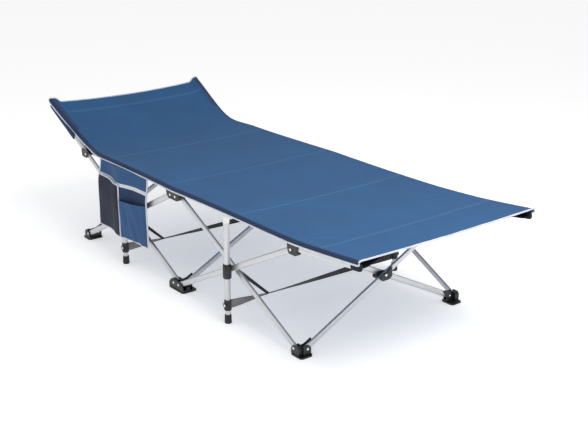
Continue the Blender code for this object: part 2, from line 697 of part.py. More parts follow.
# ---- bed fabric -----------------------------------------------------------------------------
def bed_fabric():
    """One sheet over the brackets, lifted at both ends by the tubes in its corner pockets.

    It is carried as six panels, so that each can follow the tube or bracket that holds its edge."""
    low = PIVOT_HIGH + SLOT_REACH + ROOF + FLANGE + FABRIC_GAP
    up = FABRIC_THICKNESS
    lift = (TUBE_DEPTH / 2 + SIDE_GAP) / math.cos(SLOPE)
    head_pivot, foot_pivot = side_pivot("head", 1), side_pivot("foot", -1)
    head_end = STATION_X["head"] - HEAD_OVERHANG
    head_fold = head_pivot - (low - PIVOT_HIGH - lift) / math.tan(SLOPE)
    head_low = low + (head_fold - head_end) * math.tan(SLOPE)
    bend_x = foot_pivot + FOOT_TUBE_BEND
    bend_z = PIVOT_HIGH + FOOT_TUBE_BEND * math.tan(SLOPE)
    foot_lift = (TUBE_DEPTH / 2 + SIDE_GAP) / math.cos(FOOT_TUBE_RISE)
    foot_fold = bend_x + max((low - bend_z - foot_lift) / math.tan(FOOT_TUBE_RISE), 0.0)
    foot_end = STATION_X["foot"] + FOOT_OVERHANG
    foot_low = low + (foot_end - foot_fold) * math.tan(FOOT_TUBE_RISE)
    seam = GAP / 2
    head = [(head_end, head_low), (head_fold - seam, low + seam * math.tan(SLOPE))]
    middle = [(head_fold + seam, low), (foot_fold - seam, low)]
    raised = [(foot_fold + seam, low + seam * math.tan(FOOT_TUBE_RISE)), (foot_end, foot_low)]
    for side, across in SIDES.items():
        edge = MIDDLE_Y + across * FABRIC_HALF_WIDTH
        spread = sorted((MIDDLE_Y + across * seam, edge))
        for panel, under, pivot in (
                ("head", head, (head_pivot, place(side, INNER_LANE), PIVOT_HIGH)),
                ("middle", middle, (STATION_X["mid"], edge, low + up / 2)),
                ("foot", raised, (foot_pivot, place(side, OUTER_LANE), PIVOT_HIGH))):
            outline = under + [(x, z + up) for x, z in reversed(under)]
            finish(plate(outline, "XZ", *spread, "panel"), f"bed_{panel}_{side}", BLUE, pivot)


bed_fabric()


# ---- hanging pocket -------------------------------------------------------------------------
def side_pocket():
    """A back panel with a flat mesh pouch and a deeper bottle pouch, both open at the top."""
    start = STATION_X["head"] + POCKET_START
    split = start + POCKET_SPLIT
    end = start + POCKET_LENGTH
    cloth = POCKET_CLOTH

    def slab(x, depth_in, depth_out, z, name):
        y = (place("near", POCKET_IN + depth_in), place("near", POCKET_IN + depth_out))
        return box(x, y, z, name)

    panel = slab((start, end), 0.0, cloth, (POCKET_BOTTOM, POCKET_TOP), "back_panel")
    add(panel,
        slab((start, split + cloth), cloth / 2, MESH_POUCH_DEPTH + 2 * cloth,
             (POCKET_BOTTOM, MESH_POUCH_TOP), "mesh"),
        slab((split, end), cloth / 2, BOTTLE_POUCH_DEPTH + 2 * cloth,
             (POCKET_BOTTOM, BOTTLE_POUCH_TOP), "bottle"))
    inside = (POCKET_BOTTOM + cloth, POCKET_TOP + 0.1)
    cut(panel,
        slab((start + cloth, split - cloth / 2), cloth, cloth + MESH_POUCH_DEPTH,
             inside, "mesh_room"),
        slab((split + 1.5 * cloth, end - cloth), cloth, cloth + BOTTLE_POUCH_DEPTH,
             inside, "bottle_room"))
    pivot = (side_pivot("head", 1), place("near", INNER_LANE), PIVOT_HIGH)
    return finish(panel, "side_pocket", NAVY, pivot)


side_pocket()

for piece in PARTS.objects:
    piece.data.shade_smooth()
    piece.data.set_sharp_from_angle(angle=math.radians(32))
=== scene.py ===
"""Looks of the folding camp bed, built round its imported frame."""
import json
import math

import bmesh
import bpy
import numpy as np
from mathutils import Matrix, Vector, noise


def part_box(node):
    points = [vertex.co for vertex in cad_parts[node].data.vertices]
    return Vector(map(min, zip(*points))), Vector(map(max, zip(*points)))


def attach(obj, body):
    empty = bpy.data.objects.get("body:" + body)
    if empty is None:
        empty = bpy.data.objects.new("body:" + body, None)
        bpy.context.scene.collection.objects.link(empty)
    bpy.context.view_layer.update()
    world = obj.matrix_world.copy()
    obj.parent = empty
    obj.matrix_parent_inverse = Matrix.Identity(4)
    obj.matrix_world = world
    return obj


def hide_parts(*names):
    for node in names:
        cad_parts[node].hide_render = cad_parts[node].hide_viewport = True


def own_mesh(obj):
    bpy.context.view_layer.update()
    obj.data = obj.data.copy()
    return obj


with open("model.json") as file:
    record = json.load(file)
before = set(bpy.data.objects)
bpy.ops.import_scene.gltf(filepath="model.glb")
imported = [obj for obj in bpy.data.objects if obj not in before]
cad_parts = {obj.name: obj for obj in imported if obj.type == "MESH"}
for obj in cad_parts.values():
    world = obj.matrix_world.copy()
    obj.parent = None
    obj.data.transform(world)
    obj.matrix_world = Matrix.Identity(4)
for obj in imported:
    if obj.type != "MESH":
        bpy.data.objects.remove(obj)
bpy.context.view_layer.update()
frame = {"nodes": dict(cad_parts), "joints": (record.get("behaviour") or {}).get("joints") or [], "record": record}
nodes = frame["nodes"]
bodies = frame["record"]["behaviour"]["bodies"]
joints = {joint["name"]: joint for joint in frame["joints"]}

# ==== Camera =================================================================================
# A long lens at head height, off the foot end's near corner, so that the whole bed shows with
# its head end furthest away.  Its place is given from the middle station, at floor level.
low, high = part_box("cross_hub_mid")
MIDDLE_X = (low.x + high.x) / 2
MIDDLE_Y = (low.y + high.y) / 2
CAMERA_PLACE = Vector((2.8757, -2.0953, 1.4294))
CAMERA_TURN = math.radians(51.867)
CAMERA_TILT = math.radians(19.382)
CAMERA_LENS = 64.09

back = Vector((math.sin(CAMERA_TURN) * math.cos(CAMERA_TILT),
               -math.cos(CAMERA_TURN) * math.cos(CAMERA_TILT), math.sin(CAMERA_TILT)))
right = Vector((math.cos(CAMERA_TURN), math.sin(CAMERA_TURN), 0.0))
turn = Matrix((right, back.cross(right), back)).transposed().to_4x4()
lens = bpy.data.cameras.new("camera")
lens.lens = CAMERA_LENS
lens.sensor_width = 36.0
lens.clip_end = 60.0
camera = bpy.data.objects.new("camera", lens)
camera.matrix_world = Matrix.Translation(CAMERA_PLACE + Vector((MIDDLE_X, MIDDLE_Y, 0.0))) @ turn
bpy.context.scene.collection.objects.link(camera)
bpy.context.scene.camera = camera

# ==== Studio =================================================================================
# A seamless white floor under a bright even room, with one wide soft light over the foot end
# and a weaker one on the near side, so that the tubes catch a long highlight.
FLOOR_SIZE = 40.0
ROOM_WHITE = (1.0, 1.0, 1.0)
ROOM_STRENGTH = 0.55
FLOOR_GLOW = 0.42         # the floor is a lit table, so that shadows under the bed stay pale
SOFT_LIGHTS = (
    ("key_light", (1.32, 0.10, 2.1), (0.60, 0.0, 0.3), 1.6, 34.0),
    ("side_light", (-0.8, -3.4, 1.9), (0.0, 0.0, 0.2), 1.8, 8.0),
)


def shader_of(made):
    made.use_nodes = True
    return made.node_tree.nodes["Principled BSDF"]


def mesh_object(name, mesh):
    made = bpy.data.objects.new(name, mesh)
    bpy.context.scene.collection.objects.link(made)
    return made


floor_mesh = bpy.data.meshes.new("floor")
shape = bmesh.new()
bmesh.ops.create_grid(shape, x_segments=1, y_segments=1, size=FLOOR_SIZE / 2)
shape.to_mesh(floor_mesh)
shape.free()
floor = mesh_object("floor", floor_mesh)
floor_paint = bpy.data.materials.new("studio_floor")
floor_shader = shader_of(floor_paint)
floor_shader.inputs["Base Color"].default_value = (0.93, 0.93, 0.93, 1.0)
floor_shader.inputs["Roughness"].default_value = 0.85
floor_shader.inputs["Emission Color"].default_value = (*ROOM_WHITE, 1.0)
floor_shader.inputs["Emission Strength"].default_value = FLOOR_GLOW
floor_mesh.materials.append(floor_paint)

world = bpy.data.worlds.new("studio")
world.use_nodes = True
world.node_tree.nodes["Background"].inputs["Color"].default_value = (*ROOM_WHITE, 1.0)
world.node_tree.nodes["Background"].inputs["Strength"].default_value = ROOM_STRENGTH
bpy.context.scene.world = world
bpy.context.scene.view_settings.view_transform = "Standard"

for name, place, target, size, power in SOFT_LIGHTS:
    light = bpy.data.lights.new(name, "AREA")
    light.size = size
    light.energy = power
    lamp = bpy.data.objects.new(name, light)
    lamp.location = place
    lamp.rotation_euler = (Vector(place) - Vector(target)).to_track_quat("Z", "Y").to_euler()
    bpy.context.scene.collection.objects.link(lamp)

# ==== Flat oval tubes ========================================================================
# The frame's side and cross tubes: rolled steel tube of a flat oval section, sprayed a light
# silver.  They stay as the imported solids; the paint has a fine metallic grain, and it is
# rubbed thin and a little darker where the tubes fold past each other.
SILVER = (0.58, 0.585, 0.60, 1.0)
SILVER_WORN = (0.44, 0.44, 0.45, 1.0)
SHARP_ANGLE = math.radians(34)
WELD_DISTANCE = 1e-5
GRAIN_RELIEF = 0.0004     # height of the finish's grain


def add_socket(group, name, kind, way, value=None):
    socket = group.interface.new_socket(name=name, in_out=way, socket_type=kind)
    if value is not None:
        socket.default_value = value
    return socket


def connect(tree, *pairs):
    for start, end in pairs:
        tree.links.new(start, end)


def smoothing_group():
    """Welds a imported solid's facets and shades it smooth, apart from its real edges."""
    group = bpy.data.node_groups.new("smooth_by_angle", "GeometryNodeTree")
    add_socket(group, "Geometry", "NodeSocketGeometry", "INPUT")
    add_socket(group, "Geometry", "NodeSocketGeometry", "OUTPUT")
    start = group.nodes.new("NodeGroupInput")
    end = group.nodes.new("NodeGroupOutput")
    weld = group.nodes.new("GeometryNodeMergeByDistance")
    weld.inputs["Distance"].default_value = WELD_DISTANCE
    angle = group.nodes.new("GeometryNodeInputMeshEdgeAngle")
    flat = group.nodes.new("FunctionNodeCompare")
    flat.data_type = "FLOAT"
    flat.operation = "LESS_EQUAL"
    flat.inputs["B"].default_value = SHARP_ANGLE
    faces = group.nodes.new("GeometryNodeSetShadeSmooth")
    faces.domain = "FACE"
    edges = group.nodes.new("GeometryNodeSetShadeSmooth")
    edges.domain = "EDGE"
    connect(group,
            (start.outputs[0], weld.inputs["Geometry"]),
            (weld.outputs[0], faces.inputs["Geometry"]),
            (faces.outputs[0], edges.inputs["Geometry"]),
            (angle.outputs["Unsigned Angle"], flat.inputs["A"]),
            (flat.outputs["Result"], edges.inputs["Shade Smooth"]),
            (edges.outputs[0], end.inputs[0]))
    return group


def grain_group():
    """Fine grain and soft blotches: a height for the bump, and a mask for colour and gloss."""
    group = bpy.data.node_groups.new("fine_grain", "ShaderNodeTree")
    add_socket(group, "Grain Size", "NodeSocketFloat", "INPUT", 900.0)
    add_socket(group, "Blotch Size", "NodeSocketFloat", "INPUT", 18.0)
    add_socket(group, "Height", "NodeSocketFloat", "OUTPUT")
    add_socket(group, "Blotches", "NodeSocketFloat", "OUTPUT")
    start = group.nodes.new("NodeGroupInput")
    end = group.nodes.new("NodeGroupOutput")
    coordinates = group.nodes.new("ShaderNodeTexCoord")
    fine = group.nodes.new("ShaderNodeTexNoise")
    fine.inputs["Detail"].default_value = 3.0
    broad = group.nodes.new("ShaderNodeTexNoise")
    broad.inputs["Detail"].default_value = 4.0
    broad.inputs["Roughness"].default_value = 0.6
    contrast = group.nodes.new("ShaderNodeMapRange")
    contrast.inputs["From Min"].default_value = 0.35
    contrast.inputs["From Max"].default_value = 0.65
    connect(group,
            (coordinates.outputs["Object"], fine.inputs["Vector"]),
            (coordinates.outputs["Object"], broad.inputs["Vector"]),
            (start.outputs["Grain Size"], fine.inputs["Scale"]),
            (start.outputs["Blotch Size"], broad.inputs["Scale"]),
            (fine.outputs["Fac"], end.inputs["Height"]),
            (broad.outputs["Fac"], contrast.inputs["Value"]),
            (contrast.outputs["Result"], end.inputs["Blotches"]))
    return group


def wear_group():
    """Rubbed patches: 1 where the finish has been rubbed, in short streaks along the piece."""
    group = bpy.data.node_groups.new("rubbed_wear", "ShaderNodeTree")
    add_socket(group, "Streak Size", "NodeSocketFloat", "INPUT", 30.0)
    add_socket(group, "Amount", "NodeSocketFloat", "INPUT", 0.3)
    add_socket(group, "Wear", "NodeSocketFloat", "OUTPUT")
    start = group.nodes.new("NodeGroupInput")
    end = group.nodes.new("NodeGroupOutput")
    coordinates = group.nodes.new("ShaderNodeTexCoord")
    streaks = group.nodes.new("ShaderNodeTexNoise")
    streaks.inputs["Detail"].default_value = 8.0
    streaks.inputs["Roughness"].default_value = 0.72
    fade = group.nodes.new("ShaderNodeMapRange")
    fade.inputs["From Min"].default_value = 0.56
    fade.inputs["From Max"].default_value = 0.72
    amount = group.nodes.new("ShaderNodeMath")
    amount.operation = "MULTIPLY"
    connect(group,
            (coordinates.outputs["Object"], streaks.inputs["Vector"]),
            (start.outputs["Streak Size"], streaks.inputs["Scale"]),
            (streaks.outputs["Fac"], fade.inputs["Value"]),
            (fade.outputs["Result"], amount.inputs[0]),
            (start.outputs["Amount"], amount.inputs[1]),
            (amount.outputs[0], end.inputs["Wear"]))
    return group


def place_group(tree, group, **values):
    """Puts a node group in a material, with its own value for each input that is named."""
    node = tree.nodes.new("ShaderNodeGroup")
    node.node_tree = group
    for name, value in values.items():
        node.inputs[name.replace("_", " ").title()].default_value = value
    return node


def colour_mix(tree, first, second):
    mix = tree.nodes.new("ShaderNodeMix")
    mix.data_type = "RGBA"
    mix.inputs["A"].default_value = first
    mix.inputs["B"].default_value = second
    return mix


def value_range(tree, lowest, highest):
    made = tree.nodes.new("ShaderNodeMapRange")
    made.inputs["To Min"].default_value = lowest
    made.inputs["To Max"].default_value = highest
    return made


def bump_node(tree, strength, distance):
    relief = tree.nodes.new("ShaderNodeBump")
    relief.inputs["Strength"].default_value = strength
    relief.inputs["Distance"].default_value = distance
    return relief


smooth_by_angle = smoothing_group()
fine_grain = grain_group()
rubbed_wear = wear_group()


def finish_material(name, colour, worn, metallic, gloss, bump, grain=900.0, blotch=18.0,
                    wear=0.3):
    """A moulded, sprayed or plated finish: grain in the bump, blotches in gloss, wear in colour."""
    made = bpy.data.materials.new(name)
    shader = shader_of(made)
    tree = made.node_tree
    shader.inputs["Metallic"].default_value = metallic
    grain_node = place_group(tree, fine_grain, grain_size=grain, blotch_size=blotch)
    wear_node = place_group(tree, rubbed_wear, amount=wear)
    mix = colour_mix(tree, colour, worn)
    rough = value_range(tree, *gloss)
    relief = bump_node(tree, bump, GRAIN_RELIEF)
    connect(tree,
            (wear_node.outputs["Wear"], mix.inputs["Factor"]),
            (mix.outputs["Result"], shader.inputs["Base Color"]),
            (grain_node.outputs["Blotches"], rough.inputs["Value"]),
            (rough.outputs["Result"], shader.inputs["Roughness"]),
            (grain_node.outputs["Height"], relief.inputs["Height"]),
            (relief.outputs["Normal"], shader.inputs["Normal"]))
    return made


def dress(node, material, bevel=0.0):
    """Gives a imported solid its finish, its smooth shading and, on moulded pieces, soft edges."""
    piece = nodes[node]
    piece.data.materials.clear()
    piece.data.materials.append(material)
    smoother = piece.modifiers.new("smooth_by_angle", "NODES")
    smoother.node_group = smooth_by_angle
    if bevel:
        edge = piece.modifiers.new("soft_edge", "BEVEL")
        edge.width = bevel
        edge.segments = 2
        edge.limit_method = "ANGLE"
        edge.angle_limit = SHARP_ANGLE
        edge.harden_normals = True


silver_spray = finish_material("silver_spray", SILVER, SILVER_WORN, 0.72, (0.27, 0.38), 0.08,
                               wear=0.25)
for node in nodes:
    if node.startswith(("side_tube_", "cross_tube_")):
        dress(node, silver_spray)

# ==== Moulded knuckles =======================================================================
# Feet, top brackets and hubs, injection moulded in black glass-filled nylon.  The tubes turn in
# their slots on rivets.  The texture is a fine spark finish, with paler scuffs on the feet.
NYLON = (0.012, 0.012, 0.014, 1.0)
NYLON_SCUFFED = (0.055, 0.055, 0.058, 1.0)
MOULDED_EDGE = 0.0007

black_nylon = finish_material("black_nylon", NYLON, NYLON_SCUFFED, 0.0, (0.34, 0.52), 0.35,
                              grain=1400.0, wear=0.55)
for node in nodes:
    if node.startswith(("foot_", "top_bracket_", "cross_hub_")):
        dress(node, black_nylon, MOULDED_EDGE)

# ==== Rivets =================================================================================
# Bright zinc rivets, domed at both ends, that close the knuckles over the tubes.  Each tube end
# has one along its own axis, and each hub has one through both cross tubes.
RIVET_RADIUS = 0.0046
RIVET_DOME = 0.0017
RIVET_RIM = 0.0004
RIVET_SUNK = 0.0002       # of the head's foot, into the wall
CHEEK = 0.009             # from a cross tube's middle to the moulded wall's outer face
BACK_WALL = 0.0085        # from a side tube's middle to the moulded wall's inner face
PAD_LIP = 0.002           # of a foot's pad, beyond its walls
END_STATION = {1: "foot", -1: "head"}   # no bay lies beyond it, that way along the bed
ZINC = (0.80, 0.80, 0.80, 1.0)
ZINC_DULL = (0.50, 0.50, 0.50, 1.0)

zinc = finish_material("bright_zinc", ZINC, ZINC_DULL, 1.0, (0.20, 0.34), 0.08, wear=0.4)


def add_turned(shape, profile, matrix, steps=24):
    """Adds a closed solid of (radius, height) turned about +Z.  Neither end radius is 0."""
    angles = [2 * math.pi * i / steps for i in range(steps)]
    rings = [[shape.verts.new(matrix @ Vector((radius * math.cos(a), radius * math.sin(a), height)))
              for a in angles] for radius, height in profile]
    for lower, upper in zip(rings, rings[1:]):
        for i in range(steps):
            j = (i + 1) % steps
            shape.faces.new((lower[i], lower[j], upper[j], upper[i]))
    shape.faces.new(reversed(rings[0]))
    shape.faces.new(rings[-1])


def piece_from(shape, name, materials, sharp=SHARP_ANGLE):
    bmesh.ops.recalc_face_normals(shape, faces=shape.faces)
    mesh = bpy.data.meshes.new(name)
    shape.to_mesh(mesh)
    shape.free()
    for made in materials:
        mesh.materials.append(made)
    mesh.shade_smooth()
    mesh.set_sharp_from_angle(angle=sharp)
    return mesh_object(name, mesh)


def facing(place, normal):
    """A matrix that stands a turned solid at a place, along a normal."""
    return Matrix.Translation(place) @ Vector(normal).to_track_quat("Z", "Y").to_matrix().to_4x4()


def rivets(name, body, spots):
    """Domed rivet heads at (place, normal) pairs, in one piece that rides on a body."""
    arc = [(RIVET_RADIUS * math.cos(a), RIVET_RIM + (RIVET_DOME - RIVET_RIM) * math.sin(a))
           for a in (0.0, 0.35, 0.7, 1.05, 1.35, 1.5)]
    shape = bmesh.new()
    for place, normal in spots:
        add_turned(shape, [(RIVET_RADIUS, -RIVET_SUNK)] + arc, facing(place, normal))
    made = piece_from(shape, name, [zinc], math.radians(60))
    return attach(made, body)


SIDES = {"near": -1, "far": 1}
STATIONS = ("head", "mid", "foot")
station_x = {name: sum(corner.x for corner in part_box(f"cross_hub_{name}")) / 2 for name in STATIONS}
hub_z = joints["hub_mid_turn"]["pos_m"][2]
foot_z = joints["fold"]["pos_m"][2]
top_z = joints["bracket_mid_far_turn"]["pos_m"][2]
cross_v = abs(joints["fold"]["pos_m"][1] - MIDDLE_Y)
cross_lane = abs(joints["fold"]["pos_m"][0] - MIDDLE_X)
inner_lane = abs(joints["inner_head_near_swing"]["pos_m"][1] - MIDDLE_Y)
outer_lane = abs(joints["outer_foot_near_swing"]["pos_m"][1] - MIDDLE_Y)
mid_pivot = abs(joints["inner_head_near_swing"]["pos_m"][0] - MIDDLE_X)
end_pivot = abs(joints["bracket_head_near_turn"]["pos_m"][0] - station_x["head"])


def across(side, distance):
    return MIDDLE_Y + SIDES[side] * distance


def knuckle_rivets(kind, station, side):
    """Rivets on a foot or a top bracket: one for each side tube, and one for its cross tube."""
    node = f"{kind}_{station}_{side}"
    z = foot_z if kind == "foot" else top_z
    outer = max(abs(corner.y - MIDDLE_Y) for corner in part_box(node))
    outer -= PAD_LIP if kind == "foot" else 0.0
    lanes = {("foot", 1): outer_lane, ("foot", -1): inner_lane,
             ("top_bracket", 1): inner_lane, ("top_bracket", -1): outer_lane}
    bays = [toward for toward in (1, -1) if station != END_STATION[toward]]
    innermost = min(lanes[kind, toward] for toward in bays)
    spots = []
    for toward in bays:
        x = station_x[station] + toward * (mid_pivot if station == "mid" else end_pivot)
        spots.append(((x, across(side, outer), z), (0, SIDES[side], 0)))
        spots.append(((x, across(side, innermost - BACK_WALL), z), (0, -SIDES[side], 0)))
    rising = (side == "near") == (kind == "foot")
    lane_x = station_x[station] + (cross_lane if rising else -cross_lane)
    for end in (1, -1):
        spots.append(((lane_x + end * CHEEK, across(side, cross_v), z), (end, 0, 0)))
    rivets(f"rivets_{node}", node, spots)


for station in STATIONS:
    for side in SIDES:
        knuckle_rivets("foot", station, side)
        knuckle_rivets("top_bracket", station, side)
    hub_low, hub_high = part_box(f"cross_hub_{station}")
    rivets(f"rivets_cross_hub_{station}", f"cross_hub_{station}",
           [((hub_high.x, MIDDLE_Y, hub_z), (1, 0, 0)),
            ((hub_low.x, MIDDLE_Y, hub_z), (-1, 0, 0))])

# ==== Support posts ==========================================================================
# Round posts hang on the side crossings by moulded collars, and stand on rubber shoes.  They
# are silver tube; an off-white cap covers each top, just under the fabric's hem.
CAP_WALL = 0.0008
CAP_DEPTH = 0.014
CAP_TOP = 0.0006
CAP_ROUND = 0.0008
CAP_PIN_HOLE = 0.001      # moulding gate in the middle of the cap's top
CAP_GAP = 0.0001
OFF_WHITE = (0.80, 0.79, 0.76, 1.0)
OFF_WHITE_GRUBBY = (0.62, 0.60, 0.56, 1.0)
RUBBER = (0.020, 0.020, 0.020, 1.0)
RUBBER_DUSTY = (0.10, 0.10, 0.095, 1.0)

off_white = finish_material("off_white_cap", OFF_WHITE, OFF_WHITE_GRUBBY, 0.0, (0.40, 0.55),
                            0.10, wear=0.3)
black_rubber = finish_material("black_rubber", RUBBER, RUBBER_DUSTY, 0.0, (0.70, 0.85), 0.45,
                               grain=700.0, wear=0.5)

for bay in ("head", "foot"):
    for side in SIDES:
        key = f"{bay}_{side}"
        dress(f"post_{key}", silver_spray)
        dress(f"post_pin_{key}", zinc)
        dress(f"post_collar_{key}", black_nylon, MOULDED_EDGE)
        dress(f"strap_clip_{key}", black_nylon, MOULDED_EDGE)
        dress(f"post_shoe_{key}", black_rubber, MOULDED_EDGE)
        post_low, post_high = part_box(f"post_{key}")
        radius = (post_high.x - post_low.x) / 2
        centre = (post_low + post_high) / 2
        centre.z = post_high.z
        shape = bmesh.new()
        bore, rim = radius + CAP_GAP, radius + CAP_WALL
        profile = [(bore, -CAP_DEPTH), (rim, -CAP_DEPTH), (rim, CAP_TOP - CAP_ROUND),
                   (rim - CAP_ROUND, CAP_TOP), (CAP_PIN_HOLE, CAP_TOP), (CAP_PIN_HOLE, CAP_GAP),
                   (bore, CAP_GAP)]
        add_turned(shape, profile, Matrix.Translation(centre))
        cap = piece_from(shape, f"post_cap_{key}", [off_white])
        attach(cap, f"post_{key}")
        clip_low, clip_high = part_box(f"strap_clip_{key}")
        clip_y = clip_high.y if side == "far" else clip_low.y
        clip_z = (clip_low.z + clip_high.z) / 2
        rivets(f"rivet_strap_clip_{key}", f"post_{key}",
               [((centre.x, clip_y, clip_z), (0, SIDES[side], 0))])

# ==== Cloth ==================================================================================
# Everything sewn is made here from grids of points, so that each cloth has its own thickness
# and its threads follow it.  The weave is a plain one, drawn from coordinates in metres.
WEAVE_RELIEF = 0.0003
THREAD_SHADE = (0.80, 1.10)     # brightness between the threads, and on top of them
CLOTH_GRAIN = 260.0
STITCH_HALF_WIDTH = 0.0006
STITCH_TURNS = 1500.0           # radians of the stitches' wave to the metre, along a seam
STITCH_SHARE = -0.35            # of that wave, from -1 to 1, above which the thread shows
FOLD_ANGLE = math.radians(50)
ROPE_ANGLE = math.radians(60)
WEBBING_ANGLE = math.radians(40)


def thread_places(group):
    """Sockets with a point's place along the threads and across them, in metres."""
    coordinates = group.nodes.new("ShaderNodeUVMap")
    coordinates.uv_map = "threads"
    split = group.nodes.new("ShaderNodeSeparateXYZ")
    connect(group, (coordinates.outputs["UV"], split.inputs[0]))
    return split.outputs


def calculation(group):
    """A function that adds a sum to a group, from values or sockets, and gives its socket."""
    def math_node(operation, *values):
        made = group.nodes.new("ShaderNodeMath")
        made.operation = operation
        for socket, value in zip(made.inputs, values):
            if isinstance(value, (int, float)):
                socket.default_value = value
            else:
                group.links.new(value, socket)
        return made.outputs[0]

    return math_node


def weave_group():
    """A plain weave: threads over and under each other, as a height and a shade between them."""
    group = bpy.data.node_groups.new("plain_weave", "ShaderNodeTree")
    add_socket(group, "Thread", "NodeSocketFloat", "INPUT", 0.0011)
    add_socket(group, "Height", "NodeSocketFloat", "OUTPUT")
    start = group.nodes.new("NodeGroupInput")
    end = group.nodes.new("NodeGroupOutput")
    places = thread_places(group)
    math_node = calculation(group)
    waves = []
    for axis in ("X", "Y"):
        turns = math_node("DIVIDE", places[axis], start.outputs["Thread"])
        waves.append(math_node("SINE", math_node("MULTIPLY", turns, math.pi)))
    over = math_node("GREATER_THAN", math_node("MULTIPLY", waves[0], waves[1]), 0.0)
    warp = math_node("MULTIPLY", math_node("ABSOLUTE", waves[0]), over)
    under = math_node("SUBTRACT", 1.0, over)
    weft = math_node("MULTIPLY", math_node("ABSOLUTE", waves[1]), under)
    group.links.new(math_node("ADD", warp, weft), end.inputs["Height"])
    return group


plain_weave = weave_group()


def stitch_group():
    """Rows of pale stitches on both sides of each cross seam: a mask along the threads' length."""
    group = bpy.data.node_groups.new("stitch_rows", "ShaderNodeTree")
    add_socket(group, "First Seam", "NodeSocketFloat", "INPUT", 0.0)
    add_socket(group, "Seam Spacing", "NodeSocketFloat", "INPUT", 0.4)
    add_socket(group, "Row Offset", "NodeSocketFloat", "INPUT", 0.0032)
    add_socket(group, "Stitches", "NodeSocketFloat", "OUTPUT")
    start = group.nodes.new("NodeGroupInput")
    end = group.nodes.new("NodeGroupOutput")
    places = thread_places(group)
    math_node = calculation(group)
    from_first = math_node("SUBTRACT", places["X"], start.outputs["First Seam"])
    half_spacing = math_node("MULTIPLY", start.outputs["Seam Spacing"], 0.5)
    from_seam = math_node("PINGPONG", from_first, half_spacing)
    on_row = math_node("COMPARE", from_seam, start.outputs["Row Offset"], STITCH_HALF_WIDTH)
    wave = math_node("SINE", math_node("MULTIPLY", places["Y"], STITCH_TURNS))
    dashes = math_node("GREATER_THAN", wave, STITCH_SHARE)
    group.links.new(math_node("MULTIPLY", on_row, dashes), end.inputs["Stitches"])
    return group


def cloth_material(name, colour, shade, thread, bump, rough=0.82, sheen=0.04, blotch=5.0):
    """Woven cloth: the weave in the bump, and slow changes of tone where it is creased or faded."""
    made = bpy.data.materials.new(name)
    shader = shader_of(made)
    tree = made.node_tree
    shader.inputs["Sheen Weight"].default_value = sheen
    shader.inputs["Sheen Roughness"].default_value = 0.5
    shader.inputs["Specular IOR Level"].default_value = 0.25
    grain_node = place_group(tree, fine_grain, grain_size=CLOTH_GRAIN, blotch_size=blotch)
    weave_node = place_group(tree, plain_weave, thread=thread)
    tone = colour_mix(tree, shade, colour)
    threads = value_range(tree, *THREAD_SHADE)
    threaded = tree.nodes.new("ShaderNodeVectorMath")
    threaded.operation = "SCALE"
    gloss = value_range(tree, rough - 0.06, min(rough + 0.08, 1.0))
    relief = bump_node(tree, bump, WEAVE_RELIEF)
    connect(tree,
            (grain_node.outputs["Blotches"], tone.inputs["Factor"]),
            (weave_node.outputs["Height"], threads.inputs["Value"]),
            (tone.outputs["Result"], threaded.inputs[0]),
            (threads.outputs["Result"], threaded.inputs["Scale"]),
            (threaded.outputs[0], shader.inputs["Base Color"]),
            (grain_node.outputs["Blotches"], gloss.inputs["Value"]),
            (gloss.outputs["Result"], shader.inputs["Roughness"]),
            (weave_node.outputs["Height"], relief.inputs["Height"]),
            (relief.outputs["Normal"], shader.inputs["Normal"]))
    return made


def smooth(value):
    value = min(max(value, 0.0), 1.0)
    return value * value * (3 - 2 * value)


def cloth_slab(name, points, thickness, materials, outside=1.0, band=None, rows_at=None):
    """A closed sheet from a grid of outer points.  Its other side lies `thickness` inwards.
    band(row, column) gives the material of each outer face."""
    grid = np.array(points, float)
    rows, columns = grid.shape[:2]
    along = np.gradient(grid, axis=0)
    over = np.gradient(grid, axis=1)
    normals = np.cross(along, over) * outside
    normals /= np.maximum(np.linalg.norm(normals, axis=2, keepdims=True), 1e-12)
    inner = grid - normals * thickness
    steps_u = np.linalg.norm(np.diff(grid, axis=0), axis=2).mean(axis=1)
    steps_v = np.linalg.norm(np.diff(grid, axis=1), axis=2).mean(axis=0)
    lengths_u = rows_at or np.concatenate([[0.0], np.cumsum(steps_u)])
    lengths_v = np.concatenate([[0.0], np.cumsum(steps_v)])
    shape = bmesh.new()
    threads = shape.loops.layers.uv.new("threads")
    layers = [[[shape.verts.new(point) for point in row] for row in layer]
              for layer in (grid, inner)]

    def add_face(corners, places, index):
        face = shape.faces.new(corners)
        face.material_index = index
        for loop, (i, j) in zip(face.loops, places):
            loop[threads].uv = (lengths_u[i], lengths_v[j])

    for layer, verts in enumerate(layers):
        for i in range(rows - 1):
            for j in range(columns - 1):
                places = [(i, j), (i + 1, j), (i + 1, j + 1), (i, j + 1)]
                add_face([verts[a][b] for a, b in places], places, band(i, j) if band else 0)
    border = [(i, 0) for i in range(rows)]
    border += [(rows - 1, j) for j in range(1, columns)]
    border += [(i, columns - 1) for i in range(rows - 2, -1, -1)]
    border += [(0, j) for j in range(columns - 2, 0, -1)]
    for start, end in zip(border, border[1:] + border[:1]):
        places = [start, end, end, start]
        corners = [layers[0][start[0]][start[1]], layers[0][end[0]][end[1]],
                   layers[1][end[0]][end[1]], layers[1][start[0]][start[1]]]
        cell = (min(start[0], rows - 2), min(start[1], columns - 2))
        add_face(corners, places, band(*cell) if band else 0)
    return piece_from(shape, name, materials, FOLD_ANGLE)


def along_line(points):
    """How far along a line each of its points is."""
    steps = [(b - a).length for a, b in zip(points, points[1:])]
    return np.concatenate([[0.0], np.cumsum(steps)])


